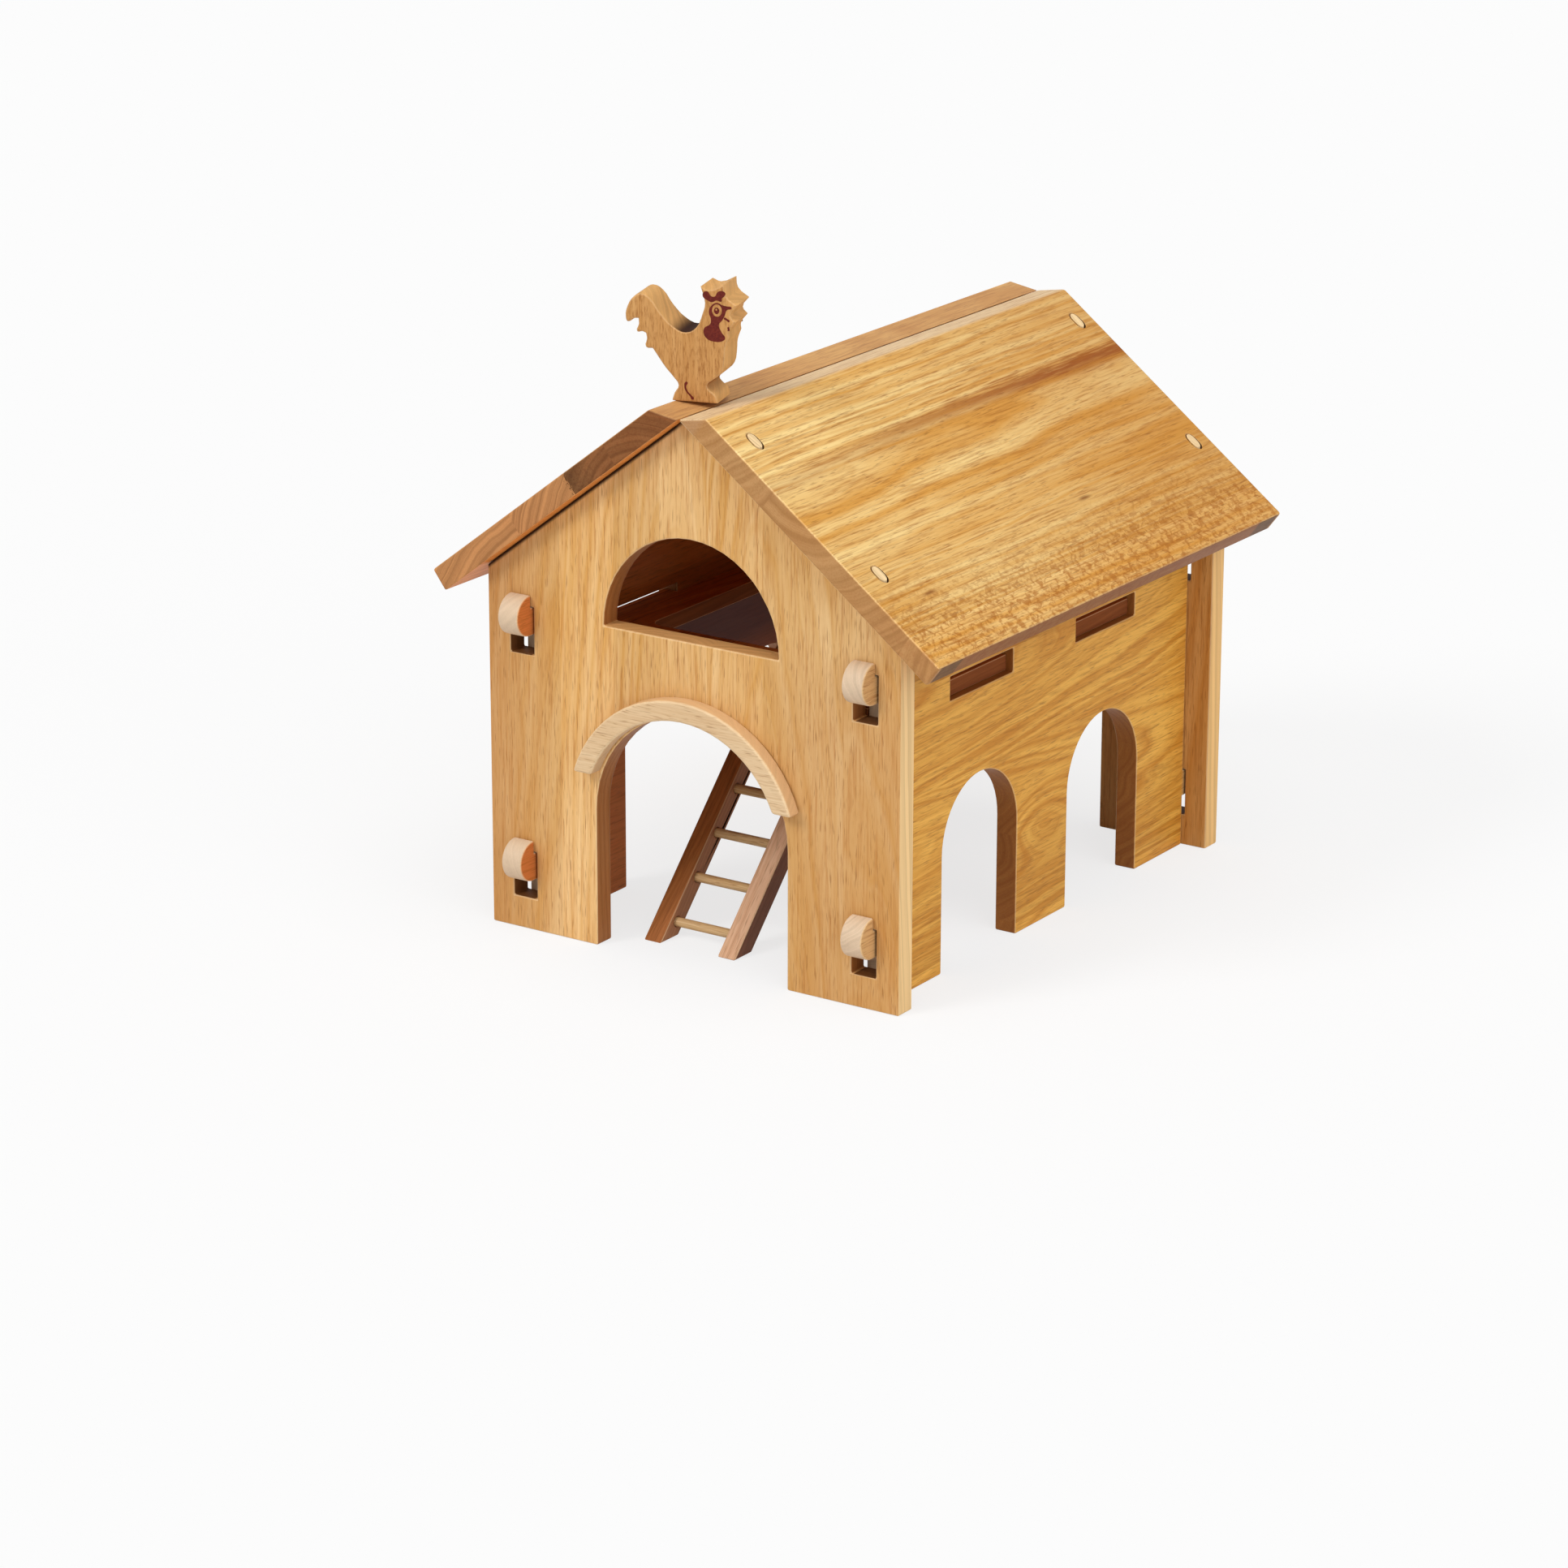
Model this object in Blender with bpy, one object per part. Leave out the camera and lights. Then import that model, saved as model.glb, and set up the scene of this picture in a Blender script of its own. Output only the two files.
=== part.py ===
"""Toy barn of plain lacquered wood, with a lift-off roof, a loft, a ladder and a rooster on the ridge.

The barn stands on the plane z = 0, with the middle of its footprint at the origin. Its front faces -Y.
Two gable walls hook on to the tabs of two side walls. Two roof boards drop over tenons on the gables.
"""

import math

import bmesh
import bpy
from mathutils import Matrix

MM = 0.001

# Driving sizes of the whole barn
WALL_WIDTH = 300 * MM
BARN_DEPTH = 383 * MM
BOARD = 15 * MM
WALL_EDGE_HEIGHT = 231.1 * MM
ROOF_PITCH = math.radians(37.37)
FIT_GAP = 0.3 * MM
CUT_OVERRUN = 5 * MM
WELD = 0.001 * MM

# Archway in each gable wall, and the moulding round the front one
DOOR_RADIUS = 70 * MM
DOOR_SPRING = 88 * MM
TRIM_REVEAL = 1 * MM
TRIM_WIDTH = 13 * MM
TRIM_THICK = 11 * MM
TRIM_LEG = 26 * MM

# Half-round window above the archway
WINDOW_RADIUS = 63.5 * MM
WINDOW_ABOVE_DOOR = 48.5 * MM

# Side walls, their hooked tabs and the gable slots that take them
SIDE_INSET = 17.7 * MM
TAB_SLOT_HEIGHT = 30.5 * MM
TAB_SLOT_BELOW_EDGE = 22.1 * MM
TAB_SLOT_ABOVE_FLOOR = 20.7 * MM
TAB_SLOT_SPARE = 1.2 * MM
TAB_NECK_HEIGHT = 17.7 * MM
TAB_HOOK_RISE = 7.7 * MM
TAB_NOSE_STRAIGHT = 1.4 * MM

# Openings in the side walls
SIDE_ARCH_RADIUS = 43 * MM
SIDE_ARCH_SPRING = 75 * MM
SIDE_ARCH_OFFSET = 73 * MM
WIDE_OPENING_LENGTH = 188 * MM
WIDE_OPENING_HEIGHT = 120 * MM
WIDE_OPENING_ROUND = 25 * MM

# Loft floor, its slots in the side walls and its hatch
LOFT_THICK = 10 * MM
LOFT_SLOT_LENGTH = 72 * MM
LOFT_SLOT_HEIGHT = 15 * MM
LOFT_LEDGE = 172 * MM
LOFT_TONGUE_SHORT = 5 * MM
HATCH_LEFT_MARGIN = 27.3 * MM
HATCH_RIGHT_MARGIN = 64.3 * MM
HATCH_LENGTH = 131.5 * MM
HATCH_FRONT = 71 * MM
HATCH_ROUND = 9 * MM

# Roof boards
EAVE_OVERHANG = 24.2 * MM
GABLE_OVERHANG = 12 * MM
RIDGE_LAND_RUN = 20.5 * MM

# Tenons on the gables and their slots in the roof boards
TENON_RUN = 9.2 * MM
TENON_THICK = 7 * MM
TENON_FLAT = 0.2 * MM
TENON_SHOULDER = 0.5 * MM
TENON_FLUSH = 0.3 * MM
TENON_FROM_MIDDLE = 39.4 * MM
TENON_FROM_EDGE = 23 * MM
ROOF_SLOT_NEAR = 0.5 * MM
ROOF_SLOT_DOWN_SLOPE = 1.4 * MM
ROOF_SLOT_TO_FRONT = 1.5 * MM

# Ladder to the loft
LADDER_LEAN = math.radians(43.7)
RAIL_WIDTH = 13 * MM
RAIL_DEPTH = 13.5 * MM
RAIL_SPACING = 55 * MM
RAIL_TOP_RISE = 7.7 * MM
RUNG_COUNT = 8
RUNG_RADIUS = 3 * MM
RUNG_SET = 9 * MM
RUNG_ABOVE_FLOOR = 9.1 * MM
RUNG_BELOW_TOP = 20.6 * MM

# Rooster on the ridge and the peg it turns on
ROOSTER_HEIGHT = 72 * MM
ROOSTER_THICK = 26 * MM
ROOSTER_FORWARD = 29.8 * MM
ROOSTER_AXIS_X = -11.5 * MM
ROOSTER_YAW = math.radians(17)
PEG_RADIUS = 2.5 * MM
PEG_IN_ROOF = 6 * MM
PEG_IN_ROOSTER = 12 * MM

# Outline of the rooster from its left toe round over the tail and head, as shares of its height:
# along the board from the middle of the foot, up from its flat sole, and whether the point is sharp
ROOSTER_SHARES = (
    (-0.200, 0.000, True),
    (-0.180, 0.062, False),
    (-0.145, 0.130, False),
    (-0.186, 0.192, False),
    (-0.257, 0.272, False),
    (-0.315, 0.352, False),
    (-0.366, 0.424, True),
    (-0.425, 0.432, False),
    (-0.416, 0.505, False),
    (-0.424, 0.548, True),
    (-0.455, 0.560, False),
    (-0.500, 0.556, False),
    (-0.485, 0.622, False),
    (-0.488, 0.668, True),
    (-0.527, 0.664, False),
    (-0.580, 0.634, False),
    (-0.598, 0.672, False),
    (-0.583, 0.765, False),
    (-0.528, 0.848, False),
    (-0.468, 0.880, False),
    (-0.388, 0.846, False),
    (-0.297, 0.726, False),
    (-0.180, 0.616, False),
    (-0.076, 0.580, False),
    (0.010, 0.628, False),
    (0.062, 0.742, False),
    (0.084, 0.836, False),
    (0.046, 0.972, True),
    (0.118, 0.946, False),
    (0.251, 1.000, True),
    (0.264, 0.908, False),
    (0.361, 0.830, True),
    (0.306, 0.745, False),
    (0.348, 0.692, True),
    (0.290, 0.610, False),
    (0.293, 0.560, True),
    (0.262, 0.470, False),
    (0.256, 0.384, False),
    (0.234, 0.272, False),
    (0.164, 0.200, False),
    (0.104, 0.142, False),
    (0.134, 0.098, False),
    (0.180, 0.060, False),
    (0.196, 0.000, True),
)

# How finely round stretches are faceted
WIDE_ARC_STEPS = 24
CORNER_STEPS = 6
TAB_NOSE_STEPS = 16
ROUND_SIDES = 20
ROOSTER_CURVE_STEPS = 3

# Heights and places that follow from the sizes above
TAN_PITCH = math.tan(ROOF_PITCH)
SIN_PITCH = math.sin(ROOF_PITCH)
COS_PITCH = math.cos(ROOF_PITCH)
APEX_HEIGHT = WALL_EDGE_HEIGHT + WALL_WIDTH / 2 * TAN_PITCH
WINDOW_SILL = DOOR_SPRING + DOOR_RADIUS + WINDOW_ABOVE_DOOR
TAB_SLOT_TOPS = (WALL_EDGE_HEIGHT - TAB_SLOT_BELOW_EDGE, TAB_SLOT_ABOVE_FLOOR + TAB_SLOT_HEIGHT)
FRONT_MIDPLANE = -(BARN_DEPTH - BOARD) / 2
INNER_LENGTH = BARN_DEPTH - 2 * BOARD
SIDE_OUTER = WALL_WIDTH / 2 - SIDE_INSET
SIDE_MIDDLE = SIDE_OUTER - BOARD / 2
SIDE_INNER = SIDE_OUTER - BOARD
LOFT_TOP = LOFT_LEDGE + FIT_GAP + LOFT_THICK
HATCH_NEAR = -BARN_DEPTH / 2 + BOARD + HATCH_FRONT
HATCH_FAR = HATCH_NEAR + HATCH_LENGTH
HATCH_LEFT = HATCH_LEFT_MARGIN - SIDE_INNER
HATCH_RIGHT = SIDE_INNER - HATCH_RIGHT_MARGIN
LADDER_CENTRE = (HATCH_LEFT + HATCH_RIGHT) / 2
LADDER_TOP = LOFT_TOP + RAIL_TOP_RISE
RUNG_STEP = (LADDER_TOP - RUNG_BELOW_TOP - RUNG_ABOVE_FLOOR) / (RUNG_COUNT - 1)
ROOF_LENGTH = BARN_DEPTH + 2 * GABLE_OVERHANG
TENON_OFFSET = (BOARD - TENON_THICK) / 2 - TENON_SHOULDER
TENON_PLACES = (TENON_FROM_MIDDLE, WALL_WIDTH / 2 - TENON_FROM_EDGE)
ROOF_SLOT_RUN = TENON_RUN + ROOF_SLOT_NEAR + ROOF_SLOT_DOWN_SLOPE
ROOF_SLOT_THICK = TENON_THICK + ROOF_SLOT_NEAR + ROOF_SLOT_TO_FRONT
ROOSTER_AXIS_Y = -BARN_DEPTH / 2 + ROOSTER_FORWARD

# Turns that stand a flat outline up: facing -Y for the gables, facing +X for the side walls
ALONG_X = Matrix(((1, 0, 0), (0, 0, -1), (0, 1, 0))).to_euler()
ALONG_Y = Matrix(((0, 0, 1), (1, 0, 0), (0, 1, 0))).to_euler()
FLAT = (0, 0, 0)


def clear_scene():
    for existing in list(bpy.data.objects):
        bpy.data.objects.remove(existing, do_unlink=True)


def new_collection(name):
    collection = bpy.data.collections.new(name)
    bpy.context.scene.collection.children.link(collection)
    return collection


def wood(name, colour, roughness):
    material = bpy.data.materials.new(name)
    material.use_nodes = True
    shader = material.node_tree.nodes["Principled BSDF"]
    shader.inputs["Base Color"].default_value = (*colour, 1)
    shader.inputs["Roughness"].default_value = roughness
    shader.inputs["Metallic"].default_value = 0
    return material


def arc(centre_u, centre_v, radius, start, end, steps):
    """Points of a round stretch from start to end degrees, both ends included."""
    points = []
    for step in range(steps + 1):
        angle = math.radians(start + (end - start) * step / steps)
        points.append((centre_u + radius * math.cos(angle), centre_v + radius * math.sin(angle)))
    return points


def rounded_rectangle(u0, v0, u1, v1, radius):
    points = arc(u1 - radius, v1 - radius, radius, 0, 90, CORNER_STEPS)
    points += arc(u0 + radius, v1 - radius, radius, 90, 180, CORNER_STEPS)
    points += arc(u0 + radius, v0 + radius, radius, 180, 270, CORNER_STEPS)
    points += arc(u1 - radius, v0 + radius, radius, 270, 360, CORNER_STEPS)
    return points


def add_poly_splines(curve, loops):
    for loop in loops:
        spline = curve.splines.new("POLY")
        spline.points.add(len(loop) - 1)
        for point, (u, v) in zip(spline.points, loop):
            point.co = (u, v, 0, 1)
        spline.use_cyclic_u = True


def board_from_curve(name, curve, thickness, location, turn, collection):
    """A flat board from a filled curve, made a welded mesh object of its own."""
    curve.dimensions = "2D"
    curve.fill_mode = "BOTH"
    curve.extrude = thickness / 2
    outline = bpy.data.objects.new(name + "_outline", curve)
    outline.location = location
    outline.rotation_euler = turn
    collection.objects.link(outline)
    bpy.context.view_layer.update()
    evaluated = outline.evaluated_get(bpy.context.evaluated_depsgraph_get())
    mesh = bpy.data.meshes.new_from_object(evaluated)
    mesh.name = name
    welded = bmesh.new()
    welded.from_mesh(mesh)
    bmesh.ops.remove_doubles(welded, verts=welded.verts, dist=WELD)
    bmesh.ops.recalc_face_normals(welded, faces=welded.faces)
    welded.to_mesh(mesh)
    welded.free()
    mesh.materials.clear()
    board = bpy.data.objects.new(name, mesh)
    board.matrix_world = outline.matrix_world.copy()
    collection.objects.link(board)
    bpy.data.objects.remove(outline, do_unlink=True)
    bpy.data.curves.remove(curve)
    return board


def board_from_loops(name, loops, thickness, location, turn, collection):
    curve = bpy.data.curves.new(name, "CURVE")
    add_poly_splines(curve, loops)
    return board_from_curve(name, curve, thickness, location, turn, collection)


def rod(name, radius, length, location, turn, collection):
    mesh = bpy.data.meshes.new(name)
    shape = bmesh.new()
    bmesh.ops.create_cone(shape, cap_ends=True, segments=ROUND_SIDES, radius1=radius, radius2=radius,
                          depth=length)
    shape.to_mesh(mesh)
    shape.free()
    piece = bpy.data.objects.new(name, mesh)
    piece.location = location
    piece.rotation_euler = turn
    collection.objects.link(piece)
    return piece


def smooth(piece):
    piece.data.shade_smooth()
    piece.data.set_sharp_from_angle(angle=math.radians(30))


def hide_helper(helper):
    helper.hide_render = True
    helper.display_type = "WIRE"


def combine(piece, helper, operation):
    """Cut the helper from the piece, or join it on, and keep the helper as a hidden guide."""
    hide_helper(helper)
    boolean = piece.modifiers.new(helper.name, "BOOLEAN")
    boolean.operation = operation
    boolean.solver = "EXACT"
    boolean.object = helper


def slope_height(x):
    """Height of the gables' sloping edges at a distance x from the middle."""
    return APEX_HEIGHT - abs(x) * TAN_PITCH


def roof_underside(x):
    return slope_height(x) + FIT_GAP / COS_PITCH


def roof_top(x):
    return roof_underside(x) + BOARD / COS_PITCH


def gable_outline():
    """The house-shaped outline, with the archway open to the floor."""
    half = WALL_WIDTH / 2
    outline = [(half, 0), (half, WALL_EDGE_HEIGHT), (0, APEX_HEIGHT), (-half, WALL_EDGE_HEIGHT), (-half, 0)]
    outline += [(-DOOR_RADIUS, 0)]
    outline += arc(0, DOOR_SPRING, DOOR_RADIUS, 180, 0, WIDE_ARC_STEPS)
    outline += [(DOOR_RADIUS, 0)]
    return outline


def gable_tab_slots():
    half = BOARD / 2 + TAB_SLOT_SPARE
    slots = []
    for side in (-1, 1):
        middle = side * SIDE_MIDDLE
        for top in TAB_SLOT_TOPS:
            bottom = top - TAB_SLOT_HEIGHT
            slots.append([(middle - half, bottom), (middle + half, bottom),
                          (middle + half, top), (middle - half, top)])
    return slots


def roof_tenon(name, x, y, collection):
    """An upright tenon whose top follows the slope, to be joined to a gable wall."""
    foot = slope_height(abs(x) + TENON_RUN / 2) - CUT_OVERRUN
    height = roof_top(x) - foot
    corner = (TENON_THICK - TENON_FLAT) / 2
    outline = rounded_rectangle(-TENON_RUN / 2, -TENON_THICK / 2, TENON_RUN / 2, TENON_THICK / 2, corner)
    tenon = board_from_loops(name, [outline], height, (x, y, foot + height / 2), FLAT, collection)
    for vertex in tenon.data.vertices:
        if vertex.co.z > 0:
            vertex.co.z = roof_top(x + vertex.co.x) - TENON_FLUSH - foot - height / 2
    return tenon


def tenon_line(midplane):
    return midplane + TENON_OFFSET


def gable_wall(name, midplane, material, parts, helpers):
    place = (0, midplane, 0)
    wall = board_from_loops(name, [gable_outline()], BOARD, place, ALONG_X, parts)
    window = arc(0, WINDOW_SILL, WINDOW_RADIUS, 0, 180, WIDE_ARC_STEPS)
    through = BOARD + 2 * CUT_OVERRUN
    for number, outline in enumerate([window] + gable_tab_slots()):
        cutter = board_from_loops(f"{name}_cut_{number}", [outline], through, place, ALONG_X, helpers)
        combine(wall, cutter, "DIFFERENCE")
    for side in (-1, 1):
        for distance in TENON_PLACES:
            label = f"{name}_tenon_{round(side * distance / MM)}"
            combine(wall, roof_tenon(label, side * distance, tenon_line(midplane), helpers), "UNION")
    wall.data.materials.append(material)
    return wall


def tab_points(top):
    """Outline of one hooked tab with a half-round head, at the +Y end of a side wall, from the top down."""
    root = INNER_LENGTH / 2 - FIT_GAP
    face = BARN_DEPTH / 2 + FIT_GAP
    neck_top = top - FIT_GAP
    bottom = neck_top - TAB_NECK_HEIGHT
    head_top = top + TAB_HOOK_RISE
    radius = (head_top - bottom) / 2
    points = [(root, neck_top), (face, neck_top), (face, head_top)]
    points += arc(face + TAB_NOSE_STRAIGHT, bottom + radius, radius, 90, -90, TAB_NOSE_STEPS)
    points.append((root, bottom))
    return points


def side_wall_outline(openings):
    """Side wall from above, clockwise: +Y end with its tabs, floor with its openings, -Y end."""
    end = INNER_LENGTH / 2 - FIT_GAP
    top = slope_height(SIDE_OUTER)
    far_tabs = []
    for slot_top in TAB_SLOT_TOPS:
        far_tabs += tab_points(slot_top)
    near_tabs = [(-y, z) for y, z in reversed(far_tabs)]
    return [(-end, top), (end, top)] + far_tabs + [(end, 0)] + openings + [(-end, 0)] + near_tabs


def arched_openings():
    points = []
    for middle in (SIDE_ARCH_OFFSET, -SIDE_ARCH_OFFSET):
        points.append((middle + SIDE_ARCH_RADIUS, 0))
        points += arc(middle, SIDE_ARCH_SPRING, SIDE_ARCH_RADIUS, 0, 180, WIDE_ARC_STEPS)
        points.append((middle - SIDE_ARCH_RADIUS, 0))
    return points


def wide_opening():
    half = WIDE_OPENING_LENGTH / 2
    level = WIDE_OPENING_HEIGHT - WIDE_OPENING_ROUND
    points = [(half, 0)]
    points += arc(half - WIDE_OPENING_ROUND, level, WIDE_OPENING_ROUND, 0, 90, CORNER_STEPS)
    points += arc(WIDE_OPENING_ROUND - half, level, WIDE_OPENING_ROUND, 90, 180, CORNER_STEPS)
    points.append((-half, 0))
    return points


def loft_slots():
    half = LOFT_SLOT_LENGTH / 2
    top = LOFT_LEDGE + LOFT_SLOT_HEIGHT
    slots = []
    for middle in (-SIDE_ARCH_OFFSET, SIDE_ARCH_OFFSET):
        slots.append([(middle - half, LOFT_LEDGE), (middle + half, LOFT_LEDGE),
                      (middle + half, top), (middle - half, top)])
    return slots


def side_wall(name, side, openings, material, parts):
    loops = [side_wall_outline(openings)] + loft_slots()
    wall = board_from_loops(name, loops, BOARD, (side * SIDE_MIDDLE, 0, 0), ALONG_Y, parts)
    wall.data.materials.append(material)
    return wall


def door_arch_trim(material, parts):
    """The half-round moulding, its two ends cut level a little above the springing line."""
    inner = DOOR_RADIUS + TRIM_REVEAL
    outer = inner + TRIM_WIDTH
    inner_start = math.degrees(math.asin(TRIM_LEG / inner))
    outer_start = math.degrees(math.asin(TRIM_LEG / outer))
    loop = arc(0, DOOR_SPRING, outer, outer_start, 180 - outer_start, WIDE_ARC_STEPS)
    loop += arc(0, DOOR_SPRING, inner, 180 - inner_start, inner_start, WIDE_ARC_STEPS)
    front = -BARN_DEPTH / 2 - FIT_GAP - TRIM_THICK / 2
    trim = board_from_loops("door_arch_trim", [loop], TRIM_THICK, (0, front, 0), ALONG_X, parts)
    trim.data.materials.append(material)
    return trim


def loft_outline():
    """Loft floor with four tongues that lie in the side walls' slots."""
    inner = SIDE_INNER - FIT_GAP
    tongue_end = SIDE_OUTER - LOFT_TONGUE_SHORT
    end = INNER_LENGTH / 2 - FIT_GAP
    half = LOFT_SLOT_LENGTH / 2 - FIT_GAP
    right = [(inner, -end)]
    for middle in (-SIDE_ARCH_OFFSET, SIDE_ARCH_OFFSET):
        right += [(inner, middle - half), (tongue_end, middle - half)]
        right += [(tongue_end, middle + half), (inner, middle + half)]
    right.append((inner, end))
    left = [(-x, y) for x, y in reversed(right)]
    return right + left


def loft_floor(material, parts):
    hatch = rounded_rectangle(HATCH_LEFT, HATCH_NEAR, HATCH_RIGHT, HATCH_FAR, HATCH_ROUND)
    centre = (0, 0, LOFT_TOP - LOFT_THICK / 2)
    floor = board_from_loops("loft_floor", [loft_outline(), hatch], LOFT_THICK, centre, FLAT, parts)
    floor.data.materials.append(material)
    return floor


def roof_profile(side):
    """Cross-section of one roof board: ridge edge, eave underside, eave top, ridge land."""
    ridge_x = FIT_GAP / 2
    eave_x = WALL_WIDTH / 2 + EAVE_OVERHANG
    profile = [(ridge_x, roof_underside(ridge_x)), (eave_x, roof_underside(eave_x)),
               (eave_x + BOARD * SIN_PITCH, roof_underside(eave_x) + BOARD * COS_PITCH),
               (RIDGE_LAND_RUN, roof_top(RIDGE_LAND_RUN))]
    return [(side * x, z) for x, z in profile]


def roof_board(name, side, material, parts, helpers):
    board = board_from_loops(name, [roof_profile(side)], ROOF_LENGTH, (0, 0, 0), ALONG_X, parts)
    half_run = ROOF_SLOT_RUN / 2
    half_thick = ROOF_SLOT_THICK / 2
    slot = rounded_rectangle(-half_run, -half_thick, half_run, half_thick, half_thick - TENON_FLAT / 2)
    down_slope = (ROOF_SLOT_DOWN_SLOPE - ROOF_SLOT_NEAR) / 2
    to_front = (ROOF_SLOT_TO_FRONT - ROOF_SLOT_NEAR) / 2
    for midplane in (FRONT_MIDPLANE, -FRONT_MIDPLANE):
        for distance in TENON_PLACES:
            x = side * (distance + down_slope)
            y = tenon_line(midplane) - to_front
            height = 2 * (BOARD / COS_PITCH + ROOF_SLOT_RUN * TAN_PITCH)
            label = f"{name}_slot_{round(distance / MM)}_{round(y / MM)}"
            combine(board, board_from_loops(label, [slot], height, (x, y, slope_height(x)), FLAT, helpers),
                    "DIFFERENCE")
    board.data.materials.append(material)
    return board


def ladder_frame():
    """Where the rails' front plane meets the floor: they lean on the hatch's rear edge."""
    depth_along_floor = RAIL_DEPTH / math.cos(LADDER_LEAN)
    lean_gap = FIT_GAP / math.cos(LADDER_LEAN)
    return HATCH_FAR - lean_gap - depth_along_floor - LOFT_TOP * math.tan(LADDER_LEAN)


def rung_centre(number):
    height = RUNG_ABOVE_FLOOR + (number - 1) * RUNG_STEP
    middle = ladder_frame() + RAIL_DEPTH / 2 / math.cos(LADDER_LEAN)
    return (LADDER_CENTRE, middle + height * math.tan(LADDER_LEAN), height)


def ladder(rail_material, rung_material, parts, helpers):
    foot = ladder_frame()
    shift = LADDER_TOP * math.tan(LADDER_LEAN)
    deep = RAIL_DEPTH / math.cos(LADDER_LEAN)
    profile = [(foot, 0), (foot + deep, 0), (foot + deep + shift, LADDER_TOP), (foot + shift, LADDER_TOP)]
    rails = []
    for name, side in (("ladder_rail_left", -1), ("ladder_rail_right", 1)):
        place = (LADDER_CENTRE + side * RAIL_SPACING / 2, 0, 0)
        rail = board_from_loops(name, [profile], RAIL_WIDTH, place, ALONG_Y, parts)
        rail.data.materials.append(rail_material)
        rails.append(rail)
    length = RAIL_SPACING - RAIL_WIDTH + 2 * RUNG_SET
    across = (0, math.radians(90), 0)
    for number in range(1, RUNG_COUNT + 1):
        centre = rung_centre(number)
        rung = rod(f"ladder_rung_{number}", RUNG_RADIUS, length, centre, across, parts)
        smooth(rung)
        rung.data.materials.append(rung_material)
        hole = rod(f"rung_hole_{number}", RUNG_RADIUS + FIT_GAP, length + 2 * FIT_GAP, centre, across, helpers)
        for rail in rails:
            combine(rail, hole, "DIFFERENCE")


def rooster_curve():
    curve = bpy.data.curves.new("rooster", "CURVE")
    curve.resolution_u = ROOSTER_CURVE_STEPS
    curve.render_resolution_u = 0
    spline = curve.splines.new("BEZIER")
    spline.bezier_points.add(len(ROOSTER_SHARES) - 1)
    for point, (along_share, up_share, sharp) in zip(spline.bezier_points, ROOSTER_SHARES):
        point.co = (along_share * ROOSTER_HEIGHT, up_share * ROOSTER_HEIGHT, 0)
        handle = "VECTOR" if sharp else "AUTO"
        point.handle_left_type = handle
        point.handle_right_type = handle
    spline.use_cyclic_u = True
    return curve


def rooster(rooster_material, peg_material, roof_left, parts, helpers):
    """The rooster stands just clear of the ridge lands and turns on a peg in the left roof board."""
    sole = roof_top(RIDGE_LAND_RUN) + FIT_GAP
    axis = bpy.data.objects.new("rooster_axis", None)
    axis.location = (ROOSTER_AXIS_X, ROOSTER_AXIS_Y, sole)
    axis.rotation_euler = (0, 0, ROOSTER_YAW)
    parts.objects.link(axis)
    figure = board_from_curve("rooster", rooster_curve(), ROOSTER_THICK, (0, 0, 0), ALONG_X, parts)
    figure.parent = axis
    figure.data.materials.append(rooster_material)
    land_share = (abs(ROOSTER_AXIS_X) - FIT_GAP / 2) / (RIDGE_LAND_RUN - FIT_GAP / 2)
    ridge_bottom = roof_underside(FIT_GAP / 2)
    land = ridge_bottom + (roof_top(RIDGE_LAND_RUN) - ridge_bottom) * land_share
    low = land - PEG_IN_ROOF - sole
    length = PEG_IN_ROOSTER - low
    peg = rod("rooster_peg", PEG_RADIUS, length, (0, 0, low + length / 2), FLAT, parts)
    smooth(peg)
    peg.parent = axis
    peg.data.materials.append(peg_material)
    bore = rod("peg_bore", PEG_RADIUS + FIT_GAP, length + 2 * FIT_GAP, (0, 0, low + length / 2), FLAT, helpers)
    bore.parent = axis
    combine(figure, bore, "DIFFERENCE")
    combine(roof_left, bore, "DIFFERENCE")


def build():
    clear_scene()
    parts = new_collection("toy_barn")
    helpers = new_collection("cutters")
    gable_wall("front_wall", FRONT_MIDPLANE, wood("front_wall_wood", (0.64, 0.37, 0.13), 0.42), parts, helpers)
    gable_wall("back_wall", -FRONT_MIDPLANE, wood("back_wall_wood", (0.60, 0.34, 0.12), 0.42), parts, helpers)
    side_wall("left_wall", -1, wide_opening(), wood("left_wall_wood", (0.58, 0.32, 0.11), 0.42), parts)
    side_wall("right_wall", 1, arched_openings(), wood("right_wall_wood", (0.66, 0.38, 0.14), 0.42), parts)
    door_arch_trim(wood("door_arch_trim_wood", (0.74, 0.47, 0.21), 0.4), parts)
    loft_floor(wood("loft_floor_wood", (0.55, 0.29, 0.10), 0.45), parts)
    left = roof_board("roof_left", -1, wood("roof_left_wood", (0.62, 0.36, 0.13), 0.4), parts, helpers)
    roof_board("roof_right", 1, wood("roof_right_wood", (0.72, 0.44, 0.17), 0.4), parts, helpers)
    rails = wood("ladder_rail_wood", (0.60, 0.33, 0.12), 0.45)
    rungs = wood("ladder_rung_wood", (0.66, 0.40, 0.17), 0.45)
    ladder(rails, rungs, parts, helpers)
    rooster(wood("rooster_wood", (0.62, 0.36, 0.14), 0.4), wood("rooster_peg_wood", (0.68, 0.43, 0.2), 0.5),
            left, parts, helpers)
    bpy.context.view_layer.update()


build()
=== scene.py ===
import bpy
import math
from mathutils import Matrix, Vector


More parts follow.
